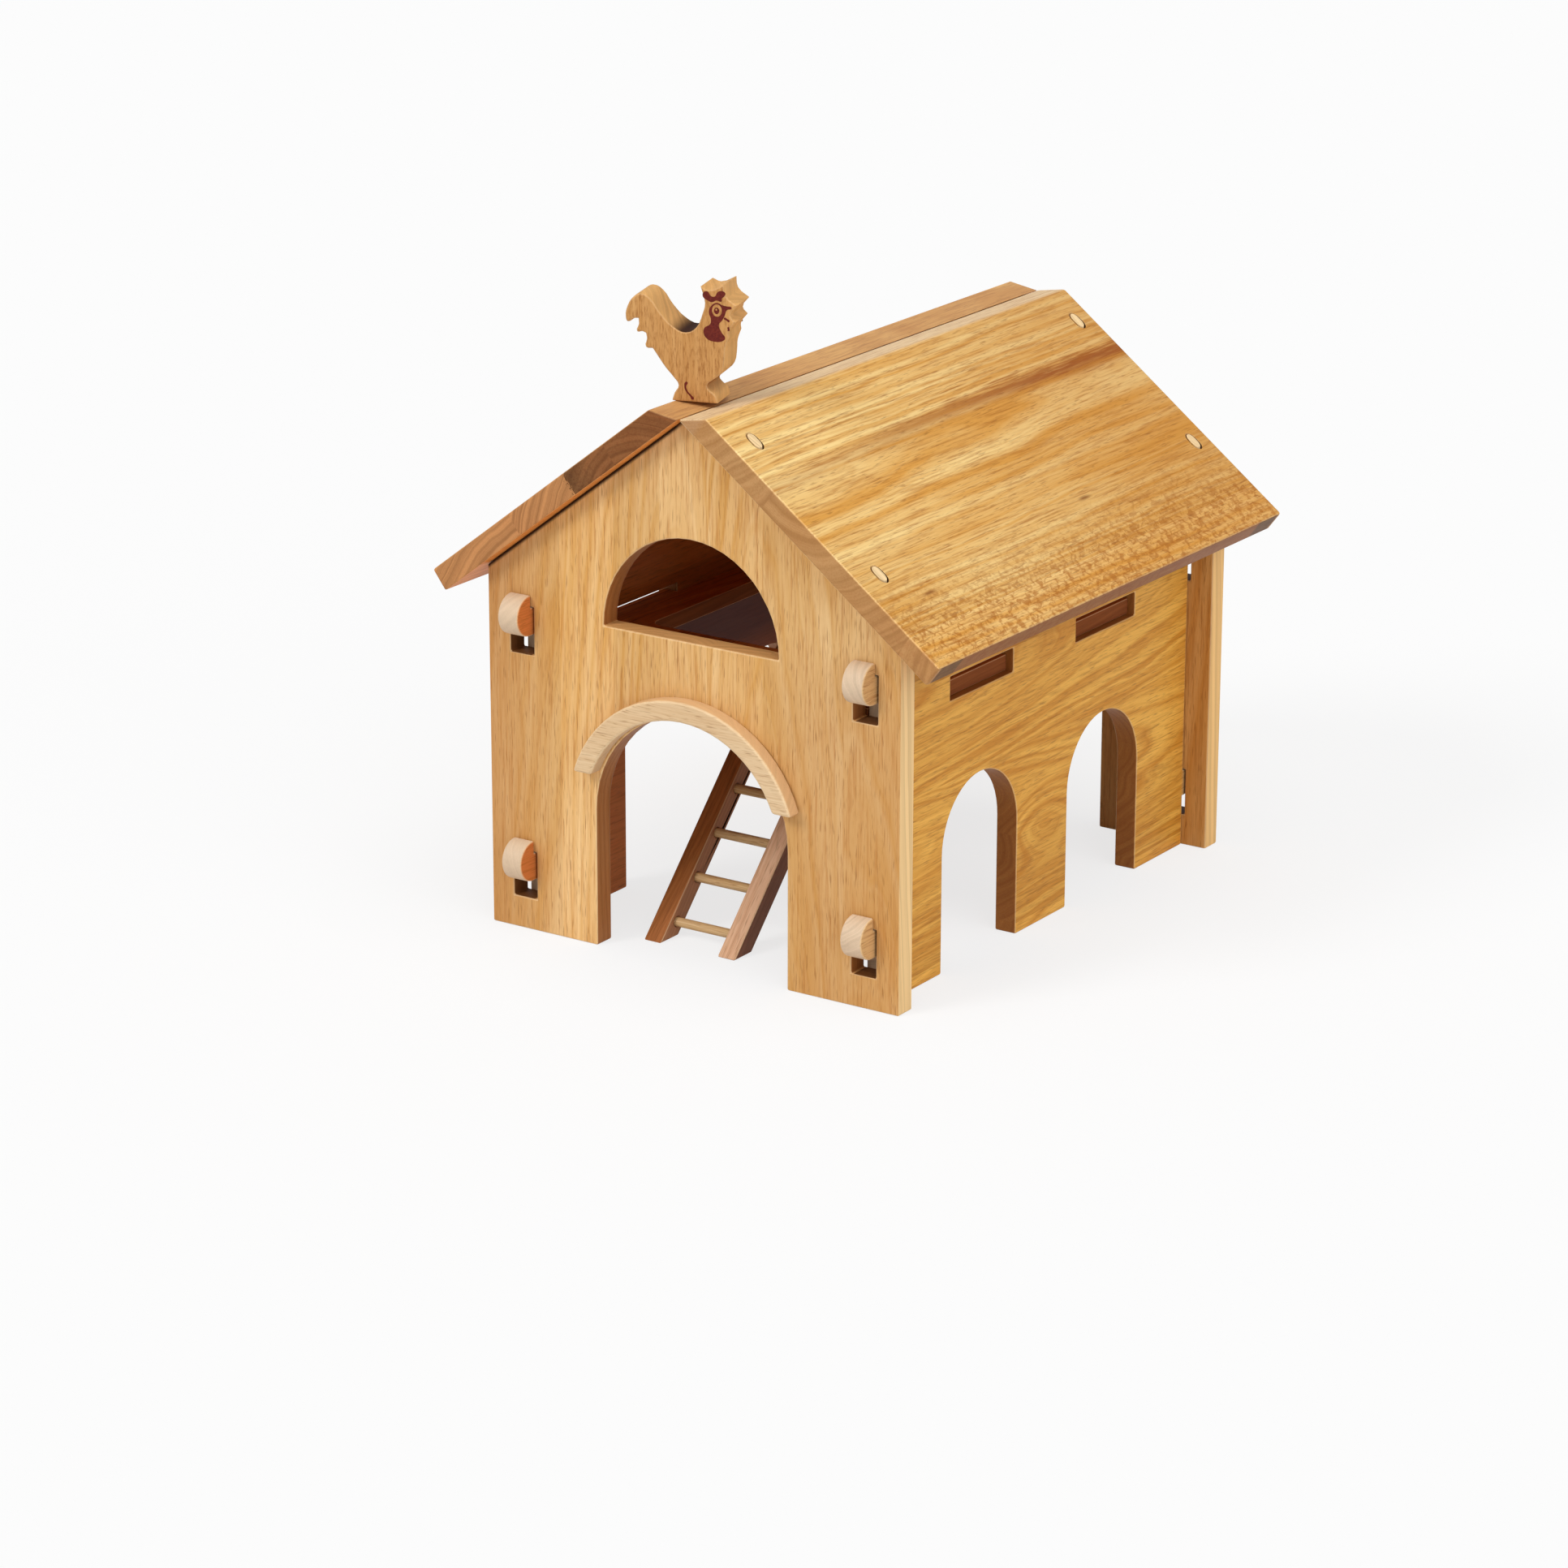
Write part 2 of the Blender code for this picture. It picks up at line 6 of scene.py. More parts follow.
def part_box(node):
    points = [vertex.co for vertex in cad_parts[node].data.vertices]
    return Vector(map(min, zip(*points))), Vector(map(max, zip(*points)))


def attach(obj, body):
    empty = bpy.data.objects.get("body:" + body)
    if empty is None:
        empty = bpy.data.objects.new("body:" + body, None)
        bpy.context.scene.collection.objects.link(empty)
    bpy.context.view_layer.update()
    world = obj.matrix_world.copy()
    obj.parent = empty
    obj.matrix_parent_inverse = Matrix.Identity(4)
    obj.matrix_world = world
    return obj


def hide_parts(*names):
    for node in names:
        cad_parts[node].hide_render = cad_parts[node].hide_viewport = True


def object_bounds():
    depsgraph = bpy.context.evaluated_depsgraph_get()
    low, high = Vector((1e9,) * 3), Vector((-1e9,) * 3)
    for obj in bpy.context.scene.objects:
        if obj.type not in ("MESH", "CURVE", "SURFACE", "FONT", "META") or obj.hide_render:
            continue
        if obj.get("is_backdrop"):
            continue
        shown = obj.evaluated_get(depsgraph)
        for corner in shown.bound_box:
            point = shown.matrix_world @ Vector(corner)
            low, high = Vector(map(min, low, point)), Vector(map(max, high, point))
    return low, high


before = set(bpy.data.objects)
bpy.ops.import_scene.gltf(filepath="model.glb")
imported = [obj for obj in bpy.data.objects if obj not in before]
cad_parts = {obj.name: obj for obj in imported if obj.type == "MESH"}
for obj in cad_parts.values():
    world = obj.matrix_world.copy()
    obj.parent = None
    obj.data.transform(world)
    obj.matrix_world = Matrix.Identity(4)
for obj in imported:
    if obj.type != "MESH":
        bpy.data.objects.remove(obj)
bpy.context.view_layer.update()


# Gable walls. Two house-shaped boards of rubberwood staves glued edge to edge, with upright grain.
# Archway, window and tab slots are routed out, every edge is rounded over, and the sloping edges
# carry the tenons that the roof boards drop on. A clear satin lacquer covers the whole.
MM = 0.001
GABLE_EASE = 1.3 * MM
GABLE_EDGE_HEIGHT = 231.1 * MM
GABLE_APEX_HEIGHT = 345.7 * MM
GABLE_HALF_WIDTH = 150 * MM
GABLE_SLOPE = (GABLE_APEX_HEIGHT - GABLE_EDGE_HEIGHT) / GABLE_HALF_WIDTH
GABLE_REACH = (GABLE_APEX_HEIGHT, 148 * MM)
TENON_EASE_SHARE = 0.3
SLOPE_MARGIN = 2 * MM
LEFT_EDGE_AMBER_SHARE = 0.6
SEAM = 3.4 * MM
SEAM_SHADE = "#2C1408"
SEAM_FADE = 10 * MM
SLOT_FROM_MIDDLE = 118 * MM
SLOT_SHADE = "#522408"
SILL_LIT_TAN = "#CC965C"
LOW_RIGHT_AMBER_SHARE = 0.3
LOW_RIGHT_FROM = 45 * MM
LOW_RIGHT_TOP = 50 * MM
# Their reveal colours are painted shade on the faces inside the openings and slots
FRONT_COLOURS = {"pale": "#E9C188", "honey": "#D39D55", "amber": "#B57230", "end": "#F0CC92",
                 "reveal": "#9A5826"}
BACK_COLOURS = {"pale": "#DFB070", "honey": "#C88C46", "amber": "#9F6024", "end": "#F0C27E",
                "reveal": "#965624"}
TENON_TOP = "#EDD0A0"
PORE_BROWN = "#8A5424"
EDGE_HIGHLIGHT = "#F6DDB2"
RELIEF = 0.15 * MM
# Swings of the noise a metre: along the grain, across it and through the board
WANDER_A_METRE = (7, 26, 26)
TONE_A_METRE = (5, 24, 24)
WANDER = 9 * MM
# Real pores are 0.2 mm wide and are drawn 0.7 mm wide so that they show
PORE_WIDTH = 0.7 * MM
PORES_A_METRE = 110


def linear(hex_text):
    """An sRGB hex colour as linear red, green, blue and alpha."""
    shares = [int(hex_text[start:start + 2], 16) / 255 for start in (1, 3, 5)]
    return (*[s / 12.92 if s <= 0.04045 else ((s + 0.055) / 1.055) ** 2.4 for s in shares], 1)


def add_node(tree, kind, values=(), links=(), **settings):
    """Adds one node with its settings, its socket values and the nodes or sockets that feed it."""
    made = tree.nodes.new("ShaderNode" + kind)
    for name, setting in settings.items():
        setattr(made, name, setting)
    for socket, value in dict(values).items():
        made.inputs[socket].default_value = value
    for socket, source in dict(links).items():
        if isinstance(source, bpy.types.Node):
            source = next(output for output in source.outputs if output.enabled)
        tree.links.new(source, made.inputs[socket])
    return made


def lacquered_rubberwood(name, board, grain, across, colours, seed, stave=45 * MM, pith=70 * MM,
                         tilt=0.05, line=3.2 * MM, dash=1.3 * MM, dash_long=33 * MM, figure=1, line_share=0.6,
                         tone_share=0.8, dash_share=0.68, cut_share=0.85, ring_share=0.12,
                         highlight_share=0.3, reach=(1, 1), specular=0.14, roughness=0.45):
    """Planed and sanded rubberwood under clear satin lacquer. The eye sees honey staves with
    faint growth lines, short brown pore dashes, browner routed faces in painted shade, rounded
    edges with a painted highlight, and a soft even sheen."""
    material = bpy.data.materials.new(name)
    material.use_nodes = True
    tree = material.node_tree
    shader = tree.nodes["Principled BSDF"]
    colour = {part: linear(hex_text) for part, hex_text in colours.items()}
    low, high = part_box(board)
    grain, across = Vector(grain), Vector(across)
    turn = Matrix((grain, across, grain.cross(across)))
    shift = -(turn @ ((low + high) / 2))

    # Board's own axes from its centre: X along the grain, Y across the width, Z through it
    spot = add_node(tree, "TexCoord")
    place = add_node(tree, "Mapping", {"Rotation": turn.to_euler(), "Location": shift},
                     {"Vector": spot.outputs["Object"]})
    axes = add_node(tree, "SeparateXYZ", links={0: place})

    # Staves of unequal width: each has its own tone and its own place in the log
    count = add_node(tree, "Math", {1: 1 / stave, 2: seed * 0.37}, {0: axes.outputs["Y"]},
                     operation="MULTIPLY_ADD")
    sway = add_node(tree, "Math", links={0: count}, operation="SINE")
    uneven = add_node(tree, "Math", {1: 0.35}, {0: sway, 2: count}, operation="MULTIPLY_ADD")
    number = add_node(tree, "Math", links={0: uneven}, operation="FLOOR")
    inside_stave = add_node(tree, "Math", links={0: uneven}, operation="FRACT")
    own = add_node(tree, "TexWhiteNoise", links={"W": number}, noise_dimensions="1D")
    luck = add_node(tree, "SeparateColor", links={0: own.outputs["Color"]})

    # Growth lines: rings round a pith that runs a little askew behind the board
    offset = add_node(tree, "Math", {1: -0.5}, {0: luck.outputs["Red"]}, operation="ADD")
    sideways = add_node(tree, "Math", {1: 1.6}, {0: offset, 2: inside_stave}, operation="MULTIPLY_ADD")
    ring_y = add_node(tree, "Math", {1: stave, 2: -stave / 2}, {0: sideways}, operation="MULTIPLY_ADD")
    lean = add_node(tree, "Math", {1: tilt}, {0: axes.outputs["X"], 2: axes.outputs["Z"]},
                    operation="MULTIPLY_ADD")
    deep = add_node(tree, "Math", {1: pith, 2: pith / 2}, {0: luck.outputs["Green"]},
                    operation="MULTIPLY_ADD")
    ring_z = add_node(tree, "Math", links={0: lean, 1: deep}, operation="ADD")
    radial = add_node(tree, "CombineXYZ", links={"Y": ring_y, "Z": ring_z})
    radius = add_node(tree, "VectorMath", links={0: radial}, operation="LENGTH")
    wander_at = add_node(tree, "VectorMath", {1: WANDER_A_METRE}, {0: place}, operation="MULTIPLY")
    wander = add_node(tree, "TexNoise", {"W": seed, "Scale": 1, "Detail": 3}, {"Vector": wander_at},
                      noise_dimensions="4D")
    wandered = add_node(tree, "Math", {1: WANDER * figure}, {0: wander, 2: radius.outputs["Value"]},
                        operation="MULTIPLY_ADD")
    ring_w = add_node(tree, "Math", {1: 1 / line, 2: seed * 5.1}, {0: wandered},
                      operation="MULTIPLY_ADD")
    rings = add_node(tree, "TexNoise", {"Scale": 1, "Detail": 3, "Roughness": 0.6}, {"W": ring_w},
                     noise_dimensions="1D")

    # Broad tone, brown dashes and pores, all drawn out along the grain
    tone_at = add_node(tree, "VectorMath", {1: TONE_A_METRE}, {0: place}, operation="MULTIPLY")
    tone = add_node(tree, "TexNoise", {"W": seed + 3, "Scale": 1, "Detail": 3, "Roughness": 0.55},
                    {"Vector": tone_at}, noise_dimensions="4D")
    dash_at = add_node(tree, "VectorMath", {1: (1 / dash_long, 1 / dash, 1 / dash)}, {0: place},
                       operation="MULTIPLY")
    dashes = add_node(tree, "TexNoise", {"W": seed + 7, "Scale": 1, "Detail": 3, "Roughness": 0.65},
                      {"Vector": dash_at}, noise_dimensions="4D")
    pore_at = add_node(tree, "VectorMath", {1: (PORES_A_METRE, 1 / PORE_WIDTH, 1 / PORE_WIDTH)}, {0: place},
                       operation="MULTIPLY")
    pore_field = add_node(tree, "TexNoise", {"W": seed + 11, "Scale": 1, "Detail": 1},
                          {"Vector": pore_at}, noise_dimensions="4D")
    pores = add_node(tree, "MapRange", {"From Min": 0.58, "From Max": 0.72}, {"Value": pore_field})

    # Lines and broad tone together set how honey the pale wood is; dashes and pores darken it
    line_part = add_node(tree, "MapRange", {"From Min": 0.32, "From Max": 0.68,
                                            "To Min": -line_share / 2, "To Max": line_share / 2},
                         {"Value": rings})
    tone_part = add_node(tree, "MapRange", {"From Min": 0.3, "From Max": 0.7,
                                            "To Min": 0.5 - tone_share / 2,
                                            "To Max": 0.5 + tone_share / 2}, {"Value": tone})
    honeyed = add_node(tree, "Math", links={0: line_part, 1: tone_part}, operation="ADD",
                       use_clamp=True)
    ground = add_node(tree, "Mix", {"A": colour["pale"], "B": colour["honey"]}, {"Factor": honeyed},
                      data_type="RGBA")
    dash_part = add_node(tree, "MapRange", {"From Min": 0.48, "From Max": 0.74, "To Max": dash_share},
                         {"Value": dashes})
    dashed = add_node(tree, "Mix", {"B": colour["amber"]}, {"Factor": dash_part, "A": ground},
                      data_type="RGBA")
    shade = add_node(tree, "MapRange", {"To Min": 1.05, "To Max": 0.93},
                     {"Value": luck.outputs["Blue"]})
    toned = add_node(tree, "HueSaturation", links={"Value": shade, "Color": dashed})
    pore_part = add_node(tree, "Math", {1: 0.5}, {0: pores}, operation="MULTIPLY")
    pored = add_node(tree, "Mix", {"B": linear(PORE_BROWN)}, {"Factor": pore_part, "A": toned},
                     data_type="RGBA")

    # Cut faces look across the board: browner where they lie inside its reach, as in openings, as a painted
    # shade
    square_on = add_node(tree, "VectorMath", {1: grain.cross(across)}, {0: spot.outputs["Normal"]},
                         operation="DOT_PRODUCT")
    square_on = add_node(tree, "Math", links={0: square_on.outputs["Value"]}, operation="ABSOLUTE")
    cut_part = add_node(tree, "MapRange", {"From Min": 0.75, "From Max": 0.3, "To Max": cut_share},
                        {"Value": square_on}, interpolation_type="SMOOTHSTEP")
    lengthwise = add_node(tree, "Math", links={0: axes.outputs["X"]}, operation="ABSOLUTE")
    lengthwise = add_node(tree, "Math", {1: reach[0]}, {0: lengthwise}, operation="LESS_THAN")
    widthwise = add_node(tree, "Math", links={0: axes.outputs["Y"]}, operation="ABSOLUTE")
    widthwise = add_node(tree, "Math", {1: reach[1]}, {0: widthwise}, operation="LESS_THAN")
    enclosed = add_node(tree, "Math", links={0: lengthwise, 1: widthwise}, operation="MULTIPLY")
    cut_tone = add_node(tree, "Mix", {"A": colour["end"], "B": colour["reveal"]},
                        {"Factor": enclosed}, data_type="RGBA")
    ring_tone = add_node(tree, "MapRange", {"From Min": 0.36, "From Max": 0.64,
                                            "To Min": 1 + ring_share, "To Max": 1 - ring_share},
                         {"Value": rings})
    cut_ringed = add_node(tree, "HueSaturation", links={"Value": ring_tone, "Color": cut_tone})
    cut = add_node(tree, "Mix", links={"Factor": cut_part, "A": pored, "B": cut_ringed},
                   data_type="RGBA")

    # Rounded edges are painted a little paler: a painted highlight along them
    off_face = add_node(tree, "MapRange", {"From Min": 0.98, "From Max": 0.85, "To Max": highlight_share},
                        {"Value": square_on})
    off_edge = add_node(tree, "MapRange", {"From Min": 0.35, "From Max": 0.6}, {"Value": square_on})
    highlight_part = add_node(tree, "Math", links={0: off_face, 1: off_edge}, operation="MULTIPLY")
    finished = add_node(tree, "Mix", {"B": linear(EDGE_HIGHLIGHT)}, {"Factor": highlight_part, "A": cut},
                        data_type="RGBA")
    tree.links.new(finished.outputs["Result"], shader.inputs["Base Color"])

    sheen = add_node(tree, "MapRange", {"To Min": roughness - 0.05, "To Max": roughness + 0.07},
                     {"Value": dashes})
    tree.links.new(sheen.outputs[0], shader.inputs["Roughness"])
    relief = add_node(tree, "Math", {1: -0.8}, {0: pores, 2: dashes}, operation="MULTIPLY_ADD")
    bump = add_node(tree, "Bump", {"Strength": 0.2, "Distance": RELIEF}, {"Height": relief})
    tree.links.new(bump.outputs[0], shader.inputs["Normal"])
    shader.inputs["IOR"].default_value = 1.5
    shader.inputs["Specular IOR Level"].default_value = specular
    return material, {"tree": tree, "place": place, "axes": axes, "normal": spot.outputs["Normal"],
                      "cut_part": cut_part, "tone": tone, "dashes": dashes,
                      "wandered": wandered, "ring_w": ring_w, "ground": dashed.inputs["A"],
                      "enclosed": enclosed, "cut_share": cut_tone.inputs["Factor"],
                      "end": cut_tone.inputs["A"], "reveal": cut_tone.inputs["B"],
                      "surface": shader.inputs["Base Color"], "turn": turn, "shift": shift}


def lay_over(slot, share, hex_text):
    """Mixes a colour over what a socket holds or is fed with, where the share says so."""
    tree = slot.id_data
    mixed = add_node(tree, "Mix", {"A": slot.default_value, "B": linear(hex_text)}, {"Factor": share},
                     data_type="RGBA")
    if slot.is_linked:
        tree.links.new(slot.links[0].from_socket, mixed.inputs["A"])
    tree.links.new(mixed.outputs["Result"], slot)


def eased_board(node, ease, material, share_of_ease=None, segments=3):
    """A merged copy of a CAD board with its sharp edges rounded over, less where the share says so."""
    board = bpy.data.objects.new(node + "_eased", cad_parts[node].data.copy())
    bpy.context.scene.collection.objects.link(board)
    bpy.ops.object.select_all(action="DESELECT")
    board.select_set(True)
    bpy.context.view_layer.objects.active = board
    bpy.ops.mesh.customdata_custom_splitnormals_clear()
    bpy.ops.object.mode_set(mode="EDIT")
    bpy.ops.mesh.select_mode(type="EDGE")
    bpy.ops.mesh.select_all(action="SELECT")
    bpy.ops.mesh.remove_doubles(threshold=0.01 * MM)
    bpy.ops.mesh.dissolve_limited(angle_limit=math.radians(1))
    bpy.ops.mesh.select_all(action="DESELECT")
    bpy.ops.mesh.edges_select_sharp(sharpness=math.radians(30))
    bpy.ops.object.mode_set(mode="OBJECT")
    mesh = board.data
    weights = mesh.attributes.new("bevel_weight_edge", "FLOAT", "EDGE")
    for edge in mesh.edges:
        if edge.select:
            a, b = (mesh.vertices[i].co for i in edge.vertices)
            weights.data[edge.index].value = share_of_ease(a, b) if share_of_ease else 1
    bevel = board.modifiers.new("round_over", "BEVEL")
    bevel.limit_method = "WEIGHT"
    bevel.width = ease
    bevel.segments = segments
    bevel.use_clamp_overlap = False
    bpy.ops.object.modifier_apply(modifier="round_over")
    bpy.ops.object.shade_smooth_by_angle(angle=math.radians(38))
    bpy.ops.object.modifier_add(type="WEIGHTED_NORMAL")
    board.modifiers[-1].keep_sharp = True
    bpy.ops.object.modifier_apply(modifier=board.modifiers[-1].name)
    mesh = board.data
    mesh.materials.clear()
    mesh.materials.append(material)
    return board


front_low, front_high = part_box("front_wall")


def gable_share(a, b):
    """Tenons are eased by a third of the rest: their edges rise from the slope, off both faces."""
    for p in (a, b):
        above = p.z - (GABLE_APEX_HEIGHT - abs(p.x) * GABLE_SLOPE)
        off_faces = front_low.y + MM < -abs(p.y) < front_high.y - MM
        if above > SLOPE_MARGIN or (off_faces and above > -SLOPE_MARGIN):
            return TENON_EASE_SHARE
    return 1


def finish_gable(made, node):
    """Pale tenon tops above the slope, painted shade in the tab slots, painted light on upward reveals, and
    painted shade in the roof seam.
    """
    tree = made["tree"]
    low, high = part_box(node)
    apex = GABLE_APEX_HEIGHT - (low.z + high.z) / 2
    across = made["axes"].outputs["Y"]
    from_middle = add_node(tree, "Math", links={0: across}, operation="ABSOLUTE")
    level = add_node(tree, "Math", {1: GABLE_SLOPE}, {0: from_middle, 2: made["axes"].outputs["X"]},
                     operation="MULTIPLY_ADD")
    below = add_node(tree, "Math", {1: apex + SLOPE_MARGIN}, {0: level}, operation="LESS_THAN")
    above = add_node(tree, "Math", {1: apex + SLOPE_MARGIN}, {0: level}, operation="GREATER_THAN")
    inside = add_node(tree, "Math", links={0: made["enclosed"], 1: below}, operation="MULTIPLY")
    tree.links.new(inside.outputs[0], made["cut_share"])
    lay_over(made["end"], above, TENON_TOP)
    # Painted light: reveals that face the sky are paler, as the light falls on them
    skyward = add_node(tree, "SeparateXYZ", links={0: made["normal"]})
    skyward = add_node(tree, "Math", {1: 0.8}, {0: skyward.outputs["Z"]}, operation="GREATER_THAN")
    lay_over(made["reveal"], skyward, SILL_LIT_TAN)
    # Painted shade in the tab slots
    at_slot = add_node(tree, "Math", {1: SLOT_FROM_MIDDLE}, {0: from_middle},
                       operation="GREATER_THAN")
    lay_over(made["reveal"], at_slot, SLOT_SHADE)
    near_roof = add_node(tree, "MapRange", {"From Min": apex - SEAM, "From Max": apex - SEAM * 0.4},
                         {"Value": level})
    on_left = add_node(tree, "MapRange", {"From Min": SEAM_FADE, "From Max": -SEAM_FADE,
                                          "To Min": 0.2, "To Max": 0.96}, {"Value": across})
    seam = add_node(tree, "Math", links={0: near_roof, 1: on_left}, operation="MULTIPLY")
    seam = add_node(tree, "Math", links={0: seam, 1: below}, operation="MULTIPLY")
    lay_over(made["surface"], seam, SEAM_SHADE)


UPRIGHT = ((0, 0, 1), (1, 0, 0))
for node, name, colours, seed in (("front_wall", "rubberwood_front_satin", FRONT_COLOURS, 1.3),
                                  ("back_wall", "rubberwood_back_satin", BACK_COLOURS, 4.7)):
    wood, made = lacquered_rubberwood(name, node, *UPRIGHT, colours, seed, reach=GABLE_REACH)
    finish_gable(made, node)
    if node == "front_wall":
        # Its left edge is amber from top to bottom, and its right leg a little
        tree = made["tree"]
        left = add_node(tree, "MapRange", {"From Min": -0.6 * GABLE_HALF_WIDTH,
                                           "From Max": -GABLE_HALF_WIDTH,
                                           "To Max": LEFT_EDGE_AMBER_SHARE},
                        {"Value": made["axes"].outputs["Y"]})
        lay_over(made["ground"], left, FRONT_COLOURS["amber"])
        right = add_node(tree, "MapRange", {"From Min": LOW_RIGHT_FROM, "From Max": 2 * LOW_RIGHT_FROM,
                                            "To Max": LOW_RIGHT_AMBER_SHARE},
                         {"Value": made["axes"].outputs["Y"]})
        lower = add_node(tree, "MapRange", {"From Min": LOW_RIGHT_TOP, "From Max": 0},
                         {"Value": made["axes"].outputs["X"]})
        right = add_node(tree, "Math", links={0: right, 1: lower}, operation="MULTIPLY")
        lay_over(made["ground"], right, FRONT_COLOURS["amber"])
    wall = eased_board(node, GABLE_EASE, wood, gable_share)
    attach(wall, "barn")
    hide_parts(node)


# Side walls. Two rubberwood boards with level grain, whose hooked tabs pass through the gables' slots
# and drop behind them. The right one has two arches, the left one wide opening, and both two loft
# slots. Their tops fit close under the roof boards, so those edges stay square.
SIDE_EASE = 1.2 * MM
SIDE_TOP_RISE = 0.28 * MM
TAB_FROM_MIDDLE = 175 * MM
SIDE_REACH = (TAB_FROM_MIDDLE, 1)
# Its reveal colour is painted shade in the arches, the wide opening and the loft slots
SIDE_COLOURS = {"pale": "#EFB552", "honey": "#D08C30", "amber": "#9C5816", "end": "#D3BCA2",
                "reveal": "#8C5028"}
TAB_TAN = "#DBB380"
EAVE_SHADE = "#6A3410"
EAVE_SHADE_HEIGHT = 60 * MM
EAVE_DEEP = 12 * MM
INNER_SHADE_BROWN = "#CC7034"
INNER_SHADE = "#4A1004"
INNER_SHADE_BELOW = (80 * MM, 35 * MM)
LOFT_UNDERSIDE = 172 * MM
LEVEL_SIDE = ((0, 1, 0), (0, 0, 1))
FIGURE_AT = Vector((132.3, 0, 66)) * MM
FIGURE_HALF_LENGTH = 75 * MM
FIGURE_HALF_HEIGHT = 34 * MM
FIGURE_RISE = 22 * MM


side_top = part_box("right_wall")[1].z


def side_share(a, b):
    """Only the long top edges stay square."""
    return 0 if min(a.z, b.z) > side_top - MM else 1


def finish_side(made, node, outward):
    """Tabs paler than the wall, and painted shade under the eave. Returns how far out it faces."""
    tree = made["tree"]
    low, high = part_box(node)
    lengthwise = add_node(tree, "Math", links={0: made["axes"].outputs["X"]}, operation="ABSOLUTE")
    tab = add_node(tree, "MapRange", {"From Min": TAB_FROM_MIDDLE - MM,
                                      "From Max": TAB_FROM_MIDDLE + 3 * MM, "To Max": 0.85},
                   {"Value": lengthwise})
    lay_over(made["ground"], tab, TAB_TAN)
    facing = add_node(tree, "SeparateXYZ", links={0: made["normal"]})
    facing = add_node(tree, "Math", {1: outward}, {0: facing.outputs["X"]}, operation="MULTIPLY")
    outer = add_node(tree, "MapRange", {"From Min": 0.5, "From Max": 0.8}, {"Value": facing})
    wall = add_node(tree, "Math", {1: TAB_FROM_MIDDLE}, {0: lengthwise}, operation="LESS_THAN")
    outer = add_node(tree, "Math", links={0: outer, 1: wall}, operation="MULTIPLY")
    top = (high.z - low.z) / 2
    eave = add_node(tree, "MapRange", {"From Min": top - EAVE_SHADE_HEIGHT, "From Max": top - EAVE_DEEP,
                                       "To Max": 0.85}, {"Value": made["axes"].outputs["Y"]})
    eave = add_node(tree, "Math", links={0: eave, 1: outer}, operation="MULTIPLY")
    lay_over(made["surface"], eave, EAVE_SHADE)
    return facing


right_wood, made = lacquered_rubberwood("rubberwood_right_side_satin", "right_wall", *LEVEL_SIDE,
                                        SIDE_COLOURS, 2.1, stave=75 * MM, pith=55 * MM, tilt=0.09,
                                        line=4.2 * MM, figure=1.8, line_share=1, reach=SIDE_REACH,
                                        ring_share=0.1)
# A flat-sawn cathedral low between the arches: the growth lines close round it
tree = made["tree"]
figure_at = made["turn"] @ FIGURE_AT + made["shift"]
from_figure = add_node(tree, "VectorMath", {1: figure_at}, {0: made["place"]},
                       operation="SUBTRACT")
from_figure = add_node(tree, "VectorMath", {1: (1 / FIGURE_HALF_LENGTH, 1 / FIGURE_HALF_HEIGHT, 0)},
                       {0: from_figure}, operation="MULTIPLY")
from_figure = add_node(tree, "VectorMath", links={0: from_figure}, operation="LENGTH")
bulge = add_node(tree, "MapRange", {"From Min": 1, "From Max": 0, "To Max": FIGURE_RISE},
                 {"Value": from_figure.outputs["Value"]}, interpolation_type="SMOOTHSTEP")
swollen = add_node(tree, "Math", links={0: made["wandered"], 1: bulge}, operation="ADD")
tree.links.new(swollen.outputs[0], made["ring_w"].inputs[0])
finish_side(made, "right_wall", 1)
left_wood, made = lacquered_rubberwood("rubberwood_left_side_satin", "left_wall", *LEVEL_SIDE,
                               SIDE_COLOURS, 8.4, stave=60 * MM, pith=60 * MM,
                               tilt=0.07, line=4 * MM, figure=1.4, line_share=0.9,
                               reach=SIDE_REACH, ring_share=0.05)
tree = made["tree"]
facing = finish_side(made, "left_wall", -1)
# Its inner face is painted redder as the shade inside the barn, and darker just under the loft with painted
# shade, as seen down through the hatch
inner = add_node(tree, "MapRange", {"From Min": -0.5, "From Max": -0.8, "To Max": 0.9},
                 {"Value": facing})
lay_over(made["ground"], inner, INNER_SHADE_BROWN)
low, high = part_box("left_wall")
loft_level = LOFT_UNDERSIDE - (low.z + high.z) / 2
near_loft = add_node(tree, "MapRange", {"From Min": loft_level - INNER_SHADE_BELOW[0],
                                        "From Max": loft_level - INNER_SHADE_BELOW[1]},
                     {"Value": made["axes"].outputs["Y"]})
under_loft = add_node(tree, "Math", {1: loft_level}, {0: made["axes"].outputs["Y"]},
                      operation="LESS_THAN")
inner = add_node(tree, "Math", links={0: inner, 1: near_loft}, operation="MULTIPLY")
inner = add_node(tree, "Math", links={0: inner, 1: under_loft}, operation="MULTIPLY")
lay_over(made["surface"], inner, INNER_SHADE)
for node, wood in (("left_wall", left_wood), ("right_wall", right_wood)):
    wall = eased_board(node, SIDE_EASE, wood, side_share)
    # The roof boards bear on the top edges, so these close the last of the gap
    for vertex in wall.data.vertices:
        if vertex.co.z > side_top - MM:
            vertex.co.z += SIDE_TOP_RISE
    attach(wall, "barn")
    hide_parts(node)


